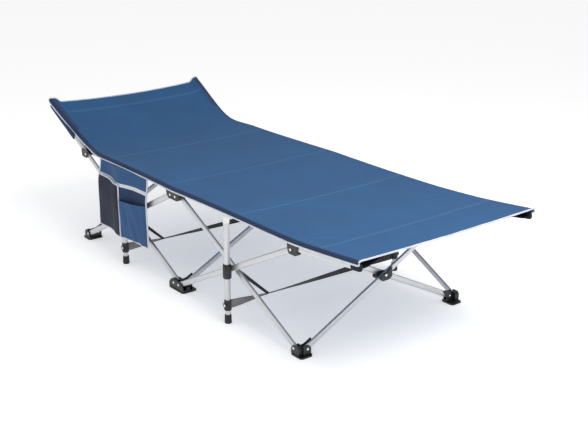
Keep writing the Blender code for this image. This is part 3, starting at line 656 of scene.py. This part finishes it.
def loft(name, rings, materials, sharp=ROPE_ANGLE, band=None):
    """A closed solid through rings of points, one for each step along it."""
    shape = bmesh.new()
    threads = shape.loops.layers.uv.new("threads")
    made = [[shape.verts.new(point) for point in ring] for ring in rings]
    centres = [sum((Vector(point) for point in ring), Vector()) / len(ring) for ring in rings]
    along = along_line(centres)
    ring = [Vector(point) for point in rings[len(rings) // 2]]
    around = along_line(ring + ring[:1])
    for i in range(len(rings) - 1):
        for k in range(len(ring)):
            n = (k + 1) % len(ring)
            face = shape.faces.new((made[i][k], made[i][n], made[i + 1][n], made[i + 1][k]))
            face.material_index = band(i) if band else 0
            corners = ((i, k), (i, k + 1), (i + 1, k + 1), (i + 1, k))
            for loop, (a, b) in zip(face.loops, corners):
                loop[threads].uv = (along[a], around[b])
    for end, cap in ((0, reversed(made[0])), (len(rings) - 2, made[-1])):
        shape.faces.new(cap).material_index = band(end) if band else 0
    return piece_from(shape, name, materials, sharp)


def rope(name, path, radius, materials, sides=10):
    """A round cord along a list of points, for piping and edge binding."""
    path = [Vector(point) for point in path]
    rings = []
    for i, point in enumerate(path):
        aim = (path[min(i + 1, len(path) - 1)] - path[max(i - 1, 0)]).normalized()
        out = aim.cross(Vector((0.0, 0.0, 1.0)))
        if out.length < 0.3:
            out = aim.cross(Vector((0.0, 1.0, 0.0)))
        out.normalize()
        up = out.cross(aim)
        rings.append([point + (out * math.cos(a) + up * math.sin(a)) * radius
                      for a in (2 * math.pi * k / sides for k in range(sides))])
    return loft(name, rings, materials)


def ribbon(name, path, materials, band=None):
    """Flat webbing through (place, half its width, half its thickness), the last two as vectors."""
    corners = ((1, 1), (-1, 1), (-1, -1), (1, -1))
    rings = [[Vector(place) + Vector(wide) * a + Vector(thick) * b for a, b in corners]
             for place, wide, thick in path]
    return loft(name, rings, materials, WEBBING_ANGLE, band)


# ==== Bed fabric =============================================================================
# One sheet of blue coated polyester, doubled along its edges, stretched over the top brackets
# and lifted at its corners by the tubes.  It is cut in six panels that meet at rest, each
# riding on the part that holds it.
BLUE = (0.0270, 0.105, 0.250, 1.0)
BLUE_SHADE = (0.0225, 0.089, 0.218, 1.0)
HEM_BLUE = (0.018, 0.043, 0.105, 1.0)
HEM_BLUE_SHADE = (0.014, 0.034, 0.085, 1.0)
THREAD_BLUE = (0.16, 0.26, 0.44, 1.0)
SLEEVE_BLUE = (0.034, 0.064, 0.170, 1.0)
SLEEVE_BLUE_SHADE = (0.026, 0.050, 0.136, 1.0)
PIPING_WHITE = (0.74, 0.77, 0.84, 1.0)
PIPING_GREY = (0.58, 0.61, 0.68, 1.0)
CLOTH_THICKNESS = 0.0014
DECK_RISE = 0.0095        # the sewn edge lifts the cloth off the flanges
EDGE_AT_BRACKET = 0.3590  # cloth's outer edge, from the bed's middle
EDGE_AT_HEAD = 0.3340     # the pull of the corners draws it in over the head brackets
POCKET_HOLD = 0.150       # the pocket's weight pulls there, past the head brackets
EDGE_AT_POCKET = 0.3530
EDGE_AT_FOOT_BRACKET = 0.3570
EDGE_AT_FOOT = 0.3585
EDGE_BOW = 0.0025         # of the edge, inward, over the length between two seams
EDGE_AT_TIP = 0.3475
HEM_ROUND = 0.0060        # radius that the edge turns down with
HEM_DROP = 0.0122         # of the edge's lower end below the deck
HEM_BAND = 0.019          # width of the doubled cloth
PIPING_RADIUS = 0.0027
DECK_SAG = 0.008
HEAD_STEP = 0.014         # the head end's cloth lies this far below the sleeves' tops
HEAD_DIP = 0.012          # and this much further in the middle
SLEEVE_BAND = 0.030       # sleeve's width, seen from above
HEAD_SLEEVE = 0.200       # length down the tube
FOOT_DIP = 0.010
HEAD_PULL = 0.022         # of the head end's edge, in plan, between its corners
FOOT_PULL = 0.010
VALLEY_EDGE = 0.034       # how softly the cloth turns up, at the edge and along the middle
VALLEY_MIDDLE = 0.070
FOOT_SOFTNESS = 1.8       # the foot end turns up that much more softly
STEP_WIDTH = 0.022        # from the sleeve's top down to the cloth beside it
SEAM_SPACING = 0.404
SEAM_HEIGHT = 0.0011
SEAM_HALF_WIDTH = 0.005
ROW_STEP = 0.0085
WRINKLE = 0.0013
HEM_LIFT = 0.0006         # the doubled cloth stands a little higher
INNER_STEPS = 40          # columns from the bed's middle to the hem
HEM_STEPS = 5
RIDGE_COLUMN = 20         # a column half way out, for lengths along a panel

middle_low, middle_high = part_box("bed_middle_near")
head_low, head_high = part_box("bed_head_near")
foot_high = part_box("bed_foot_near")[1]
deck_z = middle_high.z + DECK_RISE
head_fold, foot_fold = middle_low.x, middle_high.x
head_end, foot_end = head_low.x, foot_high.x
head_slope = (head_high.z - middle_high.z) / (head_fold - head_end)
foot_slope = (foot_high.z - middle_high.z) / (foot_end - foot_fold)
half_width = MIDDLE_Y - middle_low.y
seams = [MIDDLE_X - 0.040 + k * SEAM_SPACING for k in (-2, -1, 0, 1, 2)]

bed_blue = cloth_material("blue_polyester", BLUE, BLUE_SHADE, 0.0012, 0.30)
tree = bed_blue.node_tree
stitches = place_group(tree, stitch_group(), first_seam=seams[0], seam_spacing=SEAM_SPACING)
thread_mix = colour_mix(tree, BLUE, THREAD_BLUE)
shader = tree.nodes["Principled BSDF"]
connect(tree,
        (shader.inputs["Base Color"].links[0].from_socket, thread_mix.inputs["A"]),
        (stitches.outputs["Stitches"], thread_mix.inputs["Factor"]),
        (thread_mix.outputs["Result"], shader.inputs["Base Color"]))
hem_blue = cloth_material("doubled_hem", HEM_BLUE, HEM_BLUE_SHADE, 0.0012, 0.35, rough=0.78)
sleeve_blue = cloth_material("sleeve_blue", SLEEVE_BLUE, SLEEVE_BLUE_SHADE, 0.0012, 0.35,
                             rough=0.75)
piping_white = cloth_material("white_piping", PIPING_WHITE, PIPING_GREY, 0.0009, 0.30,
                              rough=0.7, sheen=0.1, blotch=30.0)
edge_holds = [(head_end, EDGE_AT_TIP),
              (station_x["head"], EDGE_AT_HEAD),
              (station_x["head"] + POCKET_HOLD, EDGE_AT_POCKET),
              (MIDDLE_X, EDGE_AT_BRACKET),
              (station_x["foot"], EDGE_AT_FOOT_BRACKET),
              (foot_end, EDGE_AT_FOOT)]


def edge_of(x):
    """How far the cloth's outer edge is from the bed's middle: bowed in between its holds."""
    for (start, first), (end, last) in zip(edge_holds, edge_holds[1:]):
        if x <= end or end == foot_end:
            share = min(max((x - start) / (end - start), 0.0), 1.0)
            bow = EDGE_BOW * ((end - start) / SEAM_SPACING) ** 2 * 4 * share * (1 - share)
            return first + (last - first) * smooth(share) - bow


def valley(distance, softness):
    """A ramp that starts softly: 0 on the deck and 1 a metre for each metre past the fold."""
    return softness * math.log1p(math.exp(min(distance / softness, 60.0)))


def deck_height(x, w):
    """Height of the cloth at x, where w runs from 0 in the middle to 1 at the edge."""
    inside = 1 - w * w
    soft = VALLEY_EDGE + (VALLEY_MIDDLE - VALLEY_EDGE) * inside
    z = deck_z + head_slope * valley(head_fold - x, soft)
    z += foot_slope * valley(x - foot_fold, soft * FOOT_SOFTNESS)
    head_share = smooth((head_fold - x) / (head_fold - head_end))
    foot_share = smooth((x - foot_fold) / (foot_end - foot_fold))
    past_sleeve = smooth(((1 - w) * EDGE_AT_TIP - SLEEVE_BAND * 0.8) / STEP_WIDTH)
    z -= (HEAD_STEP * past_sleeve + HEAD_DIP * inside) * head_share
    z -= FOOT_DIP * foot_share * inside
    bay = abs(math.sin(math.pi * (x - station_x["head"]) / (MIDDLE_X - station_x["head"])))
    z -= DECK_SAG * inside * (0.55 + 0.45 * bay) * (1 - head_share) * (1 - foot_share)
    return z


def creases(x, v):
    """Small creases that fan out from the four end brackets, and slow ripples everywhere."""
    z = 0.0
    for end, depth in ((station_x["head"] + 0.015, 1.6), (station_x["foot"] + 0.004, 2.4)):
        dx, dv = x - end, half_width - 0.02 - v
        reach = math.hypot(dx, dv)
        angle = math.atan2(dv, dx)
        fan = math.sin(angle * 9.0 + 1.3 * math.sin(reach * 22.0))
        z += WRINKLE * depth * fan * math.exp(-reach / 0.085) * smooth(reach / 0.05)
    z += WRINKLE * 0.9 * noise.noise(Vector((x * 5.0, v * 11.0, 3.7)))
    z += WRINKLE * 0.35 * noise.noise(Vector((x * 19.0, v * 26.0, 9.1)))
    return z


def end_pull(x, w, end):
    """Plan position of a row near one end: the free edge is pulled in between its corners."""
    if end == "head":
        limit, fold = head_end, head_fold
        pull = HEAD_PULL * (0.6 * (1 - w ** 14) + 0.4 * (1 - w * w))
    else:
        limit, fold = foot_end, foot_fold
        pull = -FOOT_PULL * (0.5 * (1 - w ** 10) + 0.5 * (1 - w * w))
    share = (fold - x) / (fold - limit)
    return x + pull * max(share, 0.0) ** 2


def row_places(start, end):
    """Rows along the bed: even ones, and close ones beside each seam."""
    count = max(int(round((end - start) / ROW_STEP)), 2)
    places = [start + (end - start) * i / count for i in range(count + 1)]
    for seam in seams:
        if start + 0.02 < seam < end - 0.02:
            places = [x for x in places if abs(x - seam) > SEAM_HALF_WIDTH + 0.002]
            places += [seam + k * SEAM_HALF_WIDTH / 2 for k in (-2, -1, 0, 1, 2)]
    return sorted(places)


def panel_points(part, side):
    """The outer side of one panel, from the bed's middle out to the hem's lower edge."""
    start, end = {"head": (head_end, head_fold), "middle": (head_fold, foot_fold),
                  "foot": (foot_fold, foot_end)}[part]
    grid = []
    for x in row_places(start, end):
        edge = edge_of(x)
        flat_to = edge - HEM_ROUND
        seam_lift = SEAM_HEIGHT * sum(max(1 - ((x - seam) / SEAM_HALF_WIDTH) ** 2, 0.0)
                                      for seam in seams)
        row = []
        for j in range(INNER_STEPS + 1):
            v = flat_to * (1 - (1 - j / INNER_STEPS) ** 1.35)
            w = v / edge
            x_here = end_pull(x, w, part) if part != "middle" else x
            z = deck_height(x, w) + creases(x, v) * (1 - w ** 8) + seam_lift * (1 - w ** 20)
            if v > flat_to - HEM_BAND:
                z += HEM_LIFT
            row.append((x_here, across(side, v), z))
        x_here, _, top = row[-1]
        for k in range(1, HEM_STEPS + 1):
            angle = math.pi / 2 * k / HEM_STEPS
            row.append((x_here, across(side, flat_to + HEM_ROUND * math.sin(angle)),
                        top - HEM_ROUND * (1 - math.cos(angle))))
        row.append((x_here, across(side, edge), top - HEM_DROP))
        grid.append(row)
    return grid


SQUASHES = {
    "middle": ("bed_{side}_fold", (1, 0, 0), 0.145),
    "head": ("inner_head_{side}_swing", (0, 1, 0), 0.21),
    "foot": ("outer_foot_{side}_swing", (0, 1, 0), 0.20),
}
BED_BODY = {"middle": "bed_middle_{side}", "head": "side_tube_inner_head_{side}",
            "foot": "side_tube_outer_foot_{side}"}


def gather(piece, part, side):
    """Makes a piece of the bed's cloth ride on what holds it."""
    joint, axis, keep = SQUASHES[part]
    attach(piece, BED_BODY[part].format(side=side))
    joint.format(side=side)
    across(side, half_width)
    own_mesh(piece)
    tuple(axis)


for side in SIDES:
    for part in ("head", "middle", "foot"):
        points = panel_points(part, side)
        places_x = [row[RIDGE_COLUMN][0] for row in points]
        hem_from = next(j for j, point in enumerate(points[len(points) // 2])
                        if abs(point[1] - MIDDLE_Y) > edge_of(point[0]) - HEM_ROUND - 0.006)
        sleeve_from = next(j for j, point in enumerate(points[2])
                           if abs(point[1] - MIDDLE_Y) > EDGE_AT_TIP - SLEEVE_BAND)
        sleeve_to = head_end + 0.9 * HEAD_SLEEVE if part == "head" else head_end

        def band(i, j):
            """Which cloth a face is of: the doubled hem, the head sleeve's top, or the deck."""
            if j >= hem_from:
                return 1
            return 2 if places_x[i] < sleeve_to and j >= sleeve_from else 0

        panel = cloth_slab(f"bed_cloth_{part}_{side}", points, CLOTH_THICKNESS,
                           [bed_blue, hem_blue, sleeve_blue], outside=SIDES[side], band=band,
                           rows_at=places_x)
        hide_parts(f"bed_{part}_{side}")
        gather(panel, part, side)
        drop = Vector((0.0, 0.0, -PIPING_RADIUS * 0.6))
        edge_line = [Vector(row[-1]) + drop for row in points]
        if part != "middle":
            end_row = points[0] if part == "head" else points[-1]
            free_edge = [Vector(point) for point in end_row]
            edge_line = (free_edge + edge_line[1:] if part == "head"
                         else edge_line[:-1] + free_edge[::-1])
        piping = rope(f"piping_{part}_{side}", edge_line, PIPING_RADIUS, [piping_white])
        gather(piping, part, side)
        length = along_line([Vector(row[RIDGE_COLUMN]) for row in points])[-1]
        width = along_line([Vector(point) for point in points[3]])[-1]
        station = "mid" if part == "middle" else part

# ==== Corner sleeves =========================================================================
# Each corner of the fabric is a sewn sleeve, closed at its end, that is pushed over the end of
# a tube.  The head's sleeves are long and show from above; the foot's are short, and a gusset
# under each one spreads the pull along the hem.  The foot sleeves and gussets are painted
# near-black, as the shade under the foot corners.
FOOT_SLEEVE = 0.030
SLEEVE_PAST_END = 0.0060
TIP_DEPTH = 0.012         # length of tube whose points give its tip
HEAD_SLEEVE_SIZE = (0.0105, 0.0124)     # half width and half depth
FOOT_SLEEVE_SIZE = (0.0075, 0.0114)
GUSSET_LENGTH = 0.075
GUSSET_WIDTH = 0.105
GUSSET_DEPTH = 0.020
GUSSET_STEPS = 12
GUSSET_THICKNESS = 0.0012
# painted shade: near-black for the foot sleeves and gussets, which lie in the shade under the foot corners
GUSSET_PAINTED_SHADE = (0.016, 0.020, 0.034, 1.0)
GUSSET_SHADE = (0.012, 0.015, 0.026, 1.0)

foot_corner_shade_cloth = cloth_material("foot_corner_painted_shade", GUSSET_PAINTED_SHADE, GUSSET_SHADE, 0.0012, 0.30)


def tube_line(node, toward):
    """The tip of a tube's centre line, and its direction back down the tube."""
    tube = nodes[node]
    corners = np.array([tube.matrix_world @ vertex.co for vertex in tube.data.vertices])
    reach = corners[:, 0] * toward
    tip = corners[reach > reach.max() - TIP_DEPTH].mean(axis=0)
    far_from_tip = np.abs(corners[:, 0] - tip[0])
    lower = corners[(far_from_tip > 0.15) & (far_from_tip < 0.24)]
    if not len(lower):
        inner = station_x["head" if toward < 0 else "foot"] - toward * end_pivot
        return Vector(tip), (Vector((inner, tip[1], top_z)) - Vector(tip)).normalized()
    return Vector(tip), (Vector(lower.mean(axis=0)) - Vector(tip)).normalized()


def flattened(value):
    """A sine or cosine that gives an outline between a circle and a square."""
    return math.copysign(abs(value) ** 0.7, value)


def sleeve(name, tip, back_down, length, size, material):
    """A flat oval bag over a tube's end, closed and rounded at the tip."""
    half_width, half_depth = size
    sideways = Vector((0.0, 1.0, 0.0))
    up = back_down.cross(sideways).normalized()
    up = up if up.z > 0 else -up
    steps = ((-SLEEVE_PAST_END, 0.72), (-SLEEVE_PAST_END + 0.0015, 0.90),
             (-SLEEVE_PAST_END + 0.005, 1.0), (0.3 * length, 1.03), (0.6 * length, 0.98),
             (length - 0.006, 1.0), (length, 0.97))
    angles = [2 * math.pi * k / 20 for k in range(20)]
    rings = []
    for distance, share in steps:
        centre = tip + back_down * distance
        rings.append([centre + sideways * (flattened(math.cos(a)) * half_width * share)
                      + up * (flattened(math.sin(a)) * half_depth * share) for a in angles])
    return loft(name, rings, [material])


for side in SIDES:
    tip, back_down = tube_line(f"side_tube_inner_head_{side}", -1)
    head_sleeve = sleeve(f"sleeve_head_{side}", tip, back_down, HEAD_SLEEVE, HEAD_SLEEVE_SIZE,
                         hem_blue)
    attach(head_sleeve, f"side_tube_inner_head_{side}")
    tip, back_down = tube_line(f"side_tube_outer_foot_{side}", 1)
    # the foot sleeve is coloured with the near-black painted shade of the foot corner
    foot_sleeve = sleeve(f"sleeve_foot_{side}", tip, back_down, FOOT_SLEEVE, FOOT_SLEEVE_SIZE,
                         foot_corner_shade_cloth)
    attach(foot_sleeve, f"side_tube_outer_foot_{side}")
    rows = []
    for i in range(GUSSET_STEPS + 1):
        x = foot_end - 0.003 - GUSSET_LENGTH * i / GUSSET_STEPS
        width = GUSSET_WIDTH * (1 - 0.55 * i / GUSSET_STEPS)
        row = []
        for j in range(GUSSET_STEPS + 1):
            v = outer_lane - 0.0062 - width * j / GUSSET_STEPS
            under = GUSSET_DEPTH * (1 - smooth((outer_lane - v - 0.016) / 0.080))
            w = v / EDGE_AT_TIP
            z = deck_height(x, w) - 0.004 - under
            row.append((end_pull(x, w, "foot"), across(side, v), z))
        rows.append(row)
    gusset = cloth_slab(f"gusset_foot_{side}", rows, GUSSET_THICKNESS, [foot_corner_shade_cloth],
                        outside=SIDES[side])
    gather(gusset, "foot", side)

# ==== Side pocket ============================================================================
# A hanging organiser sewn under the near hem: a flat back panel with a white band, a pouch of
# dark mesh on the head side and a deeper bottle pouch of blue cloth, all bound in white.
BAND_WHITE = (0.70, 0.73, 0.80, 1.0)
BAND_GREY = (0.58, 0.61, 0.68, 1.0)
POCKET_NAVY = (0.022, 0.048, 0.115, 1.0)
POCKET_NAVY_SHADE = (0.018, 0.040, 0.096, 1.0)
MESH_NAVY = (0.010, 0.016, 0.034, 1.0)
MESH_GAP = (0.018, 0.026, 0.050, 1.0)
BINDING_RADIUS = 0.0030
BOTTLE_HEM_RADIUS = 0.0017
EDGE_STEP = 0.012
POCKET_BLUE = (0.038, 0.100, 0.235, 1.0)
POCKET_BLUE_SHADE = (0.030, 0.080, 0.190, 1.0)
BACK_THICKNESS = 0.0012
POUCH_THICKNESS = 0.0011
POUCH_SPLIT = 0.180       # where the mesh pouch ends, from the pocket's head side
MESH_TOP = 0.307
BOTTLE_TOP = 0.250
MESH_SWELL = 0.0035
BAND_TOP = 0.046          # white band, below the top edge
BAND_WIDTH = 0.013
BAND_LIFT = 0.0005        # of the band, from the panel that it is sewn to
POUCH_SWELL = 0.018       # of the bottle pouch, at its mouth
MESH_FOLDS = 0.0008       # depth of the folds in each pouch's front
BOTTLE_FOLDS = 0.0080
BOTTLE_MOUTH_RISE = 0.014 # of the bottle pouch's mouth, toward the foot side
POCKET_STEP = 0.008

pocket_low, pocket_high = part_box("side_pocket")
pocket_blue = cloth_material("pocket_blue", POCKET_BLUE, POCKET_BLUE_SHADE, 0.0011, 0.30)
pocket_navy = cloth_material("pocket_navy", POCKET_NAVY, POCKET_NAVY_SHADE, 0.0011, 0.30)
pocket_mesh = cloth_material("pocket_mesh", MESH_NAVY, MESH_GAP, 0.0024, 0.9, rough=0.75)
white_band = cloth_material("white_band", BAND_WHITE, BAND_GREY, 0.0010, 0.35, rough=0.75,
                            blotch=30.0)

pocket_start, pocket_end = pocket_low.x, pocket_high.x
pocket_split = pocket_start + POUCH_SPLIT
pocket_top = deck_z - HEM_DROP - 0.002
pocket_bottom = pocket_low.z + 0.008
back_v = MIDDLE_Y - pocket_high.y + 0.0008
head_post_x = sum(corner.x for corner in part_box("post_head_near")) / 2


def back_panel_v(x, z):
    """The back panel hangs from the hem, and leans out over the post that it covers."""
    drop = pocket_top - z
    hang = edge_of(x) + 0.0015 + 0.011 * smooth(drop / 0.09)
    over_post = math.exp(-((x - head_post_x) / 0.060) ** 2) * smooth(drop / 0.0026)
    v = hang + (back_v - hang) * over_post
    v += 0.0012 * math.sin(x * 46.0) * smooth(drop / 0.1)
    return v + 0.0010 * noise.noise(Vector((x * 14.0, z * 14.0, 5.0)))


def spread(start, end, step, extra=()):
    """Even places from start to end, with extra ones in place of those close beside them."""
    count = max(int(round(abs(end - start) / step)), 2)
    found = [start + (end - start) * i / count for i in range(count + 1)]
    kept = [a for a in found
            if all(abs(a - b) > step * 0.45 or a in (start, end) for b in extra)]
    return sorted(kept + list(extra), reverse=end < start)


def pocket_flare(x, z):
    """The panel's sides splay a little, wider at the bottom."""
    middle = (pocket_start + pocket_end) / 2
    return middle + (x - middle) * (0.975 + 0.025 * smooth((pocket_top - z) / 0.25))


def back_band(i, j):
    z = back_rows[i]
    if z <= pocket_top - BAND_TOP - BAND_WIDTH + 1e-6:
        return 2
    return 1 if z <= pocket_top - BAND_TOP + 1e-6 else 0


def on_back(x, z, out=0.0):
    """A point that stands a little out from the back panel."""
    return (pocket_flare(x, z), MIDDLE_Y - back_panel_v(x, z) - out, z)


back_rows = spread(pocket_top, pocket_bottom, POCKET_STEP,
                   (pocket_top - 0.0013, pocket_top - 0.0027, pocket_top - BAND_TOP,
                    pocket_top - BAND_TOP - BAND_WIDTH))
columns = spread(pocket_start, pocket_end, POCKET_STEP)
back_points = [[on_back(x, z, BAND_LIFT if back_band(i, 0) == 1 else 0.0) for x in columns]
               for i, z in enumerate(back_rows)]
back_panel = cloth_slab("pocket_back_panel", back_points, BACK_THICKNESS,
                        [pocket_blue, white_band, pocket_navy], outside=-1.0, band=back_band)


def pouch(name, start, end, top, swell, materials, folds, mouth_rise):
    """A pouch's front, sewn to the back panel along its sides and foot, and open at the top."""
    rows = []
    for z in spread(top, pocket_bottom + 0.002, POCKET_STEP * 0.75):
        down = (top - z) / (top - pocket_bottom)
        row = []
        for x in spread(start, end, POCKET_STEP * 0.6):
            share = (x - start) / (end - start)
            arch = max(math.sin(math.pi * share), 0.0) ** 0.6
            fall = (1 - down) ** 0.8 * 0.75 + 0.25 * (1 - down ** 4)
            out = 0.0032 + swell * arch * fall
            ripple = (math.sin(share * 13.0 + down * 3.1) * 0.5
                      + math.sin(share * 23.0 - down * 4.0) * 0.3)
            out += folds * arch * ripple * smooth(down / 0.15) * (1 - 0.4 * down)
            x_here, y_here, _ = on_back(x, z, out)
            row.append((x_here, y_here, z + mouth_rise * share * (1 - down)))
        rows.append(row)
    return cloth_slab(name, rows, POUCH_THICKNESS, materials, outside=-1.0), rows


mesh_front, mesh_rows = pouch("pocket_mesh_pouch", pocket_start + 0.002, pocket_split, MESH_TOP,
                              MESH_SWELL, [pocket_mesh], MESH_FOLDS, 0.0)
bottle_front, bottle_rows = pouch("pocket_bottle_pouch", pocket_split + 0.004,
                                  pocket_end - 0.003, BOTTLE_TOP, POUCH_SWELL, [pocket_blue],
                                  BOTTLE_FOLDS, BOTTLE_MOUTH_RISE)

edge_z = spread(pocket_top, pocket_bottom, EDGE_STEP)
binding_lines = {
    "head_side": [on_back(pocket_start, z, 0.001) for z in edge_z],
    "foot_side": [on_back(pocket_end, z, 0.001) for z in edge_z],
    "bottom": [on_back(x, pocket_bottom, 0.002)
               for x in spread(pocket_start, pocket_end, EDGE_STEP)],
    "mesh_mouth": [(x, y - 0.0008, z) for x, y, z in mesh_rows[0]],
    "divider": [on_back(pocket_split + 0.002, z, 0.0046)
                for z in spread(MESH_TOP, pocket_bottom, EDGE_STEP)],
}
bindings = [rope(f"pocket_binding_{name}", line, BINDING_RADIUS, [white_band])
            for name, line in binding_lines.items()]
bottle_hem = rope("pocket_bottle_hem", [(x, y - 0.0002, z) for x, y, z in bottle_rows[0]],
                  BOTTLE_HEM_RADIUS, [pocket_blue])

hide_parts("side_pocket")
for piece in (back_panel, mesh_front, bottle_front, bottle_hem, *bindings):
    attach(piece, "top_bracket_head_near")
    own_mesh(piece)
head_side, foot_side, bottom, mesh_mouth, divider = bindings
drop_length = along_line([Vector(row[4]) for row in back_points])[-1]
for front, rows, extra in ((mesh_front, mesh_rows, mesh_mouth),
                           (bottle_front, bottle_rows, bottle_hem)):
    wide = along_line([Vector(point) for point in rows[0]])[-1]
    tall = along_line([Vector(row[6]) for row in rows])[-1]

# ==== Cross straps ===========================================================================
# Black nylon webbing from clip to clip across the frame, near the floor.  It twists on its way,
# and a thin stay of the same webbing runs from a sewn fork up to each side crossing.
WEB_BLACK = (0.014, 0.014, 0.016, 1.0)
WEB_WORN = (0.040, 0.040, 0.044, 1.0)
# painted sheen: the black webbing's near length, from clip to fork, is coloured grey where it catches the light
WEB_PAINTED_SHEEN = (0.16, 0.16, 0.165, 1.0)
WEB_PAINTED_SHEEN_WORN = (0.24, 0.24, 0.245, 1.0)
WEB_THREAD = 0.0022
WEB_HALF_WIDTH = 0.0165
WEB_HALF_THICKNESS = 0.0008
FORK = 0.58               # fork's place, as a share of the strap's half length
STAY_HALF_WIDTH = 0.0065
NEAR_HALF_WIDTH = 0.0035  # where the strap is gathered, on the near side of the fork
NEAR_TWIST = 0.20
FAR_HALF_WIDTH = 0.0060
SPREAD_HALF_WIDTH = 0.0125
FAR_TWIST = math.radians(52)
STRAP_SAG = 0.004
STRAP_STEPS = 60
STAY_STEPS = 12

web_black = cloth_material("black_webbing", WEB_BLACK, WEB_WORN, WEB_THREAD, 0.6, rough=0.6,
                           blotch=12.0)
web_painted_sheen = cloth_material("webbing_painted_sheen", WEB_PAINTED_SHEEN, WEB_PAINTED_SHEEN_WORN, WEB_THREAD, 0.6, rough=0.5,
                          blotch=12.0)

for bay in ("head", "foot"):
    strap_low, strap_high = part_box(f"cross_strap_{bay}")
    clip_low, clip_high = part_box(f"strap_clip_{bay}_near")
    x = (strap_low.x + strap_high.x) / 2
    z = (clip_low.z + clip_high.z) / 2
    end = (strap_high.y - strap_low.y) / 2
    fork = FORK * end
    path = []
    for i in range(STRAP_STEPS + 1):
        v = -end + 2 * end * i / STRAP_STEPS
        if v < -fork:
            share = smooth((abs(v) - fork) / (end - fork))
            half = NEAR_HALF_WIDTH + (WEB_HALF_WIDTH - NEAR_HALF_WIDTH) * share
            twist = NEAR_TWIST
        else:
            opened = smooth((v + fork) / (0.5 * end))
            flat = smooth((v - fork) / (end - fork))
            half = FAR_HALF_WIDTH + (SPREAD_HALF_WIDTH - FAR_HALF_WIDTH) * opened
            half += (WEB_HALF_WIDTH - SPREAD_HALF_WIDTH) * flat
            twist = FAR_TWIST * (1 - smooth((v + fork) / (end + fork)))
        sag = -STRAP_SAG * (1 - (v / end) ** 2)
        wide = Vector((math.sin(twist), 0.0, math.cos(twist))) * half
        thick = Vector((math.cos(twist), 0.0, -math.sin(twist))) * WEB_HALF_THICKNESS
        path.append(((x, MIDDLE_Y + v, z + sag), wide, thick))
    near_steps = sum(1 for place, _, _ in path if place[1] < MIDDLE_Y - fork)
    # the steps before the fork take the grey painted sheen; the rest is the plain black webbing
    strap = ribbon(f"webbing_strap_{bay}", path, [web_black, web_painted_sheen],
                   band=lambda i, steps=near_steps: 1 if i < steps - 1 else 0)
    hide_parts(f"cross_strap_{bay}")
    straps = [strap]
    for side in SIDES:
        start = Vector((x, across(side, fork), z - 0.003))
        crossing = Vector((x, across(side, inner_lane - 0.012), hub_z - 0.014))
        aim = (crossing - start).normalized()
        wide = aim.cross(Vector((1.0, 0.0, 0.0))).normalized() * STAY_HALF_WIDTH
        thick = Vector((WEB_HALF_THICKNESS, 0.0, 0.0))
        shares = [i / STAY_STEPS for i in range(STAY_STEPS + 1)]
        stay_path = [(start + (crossing - start) * share, wide * (0.7 + 0.3 * share), thick)
                     for share in shares]
        straps.append(ribbon(f"webbing_stay_{bay}_{side}", stay_path, [web_black]))
    for piece in straps:
        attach(piece, f"post_{bay}_near")
        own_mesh(piece)
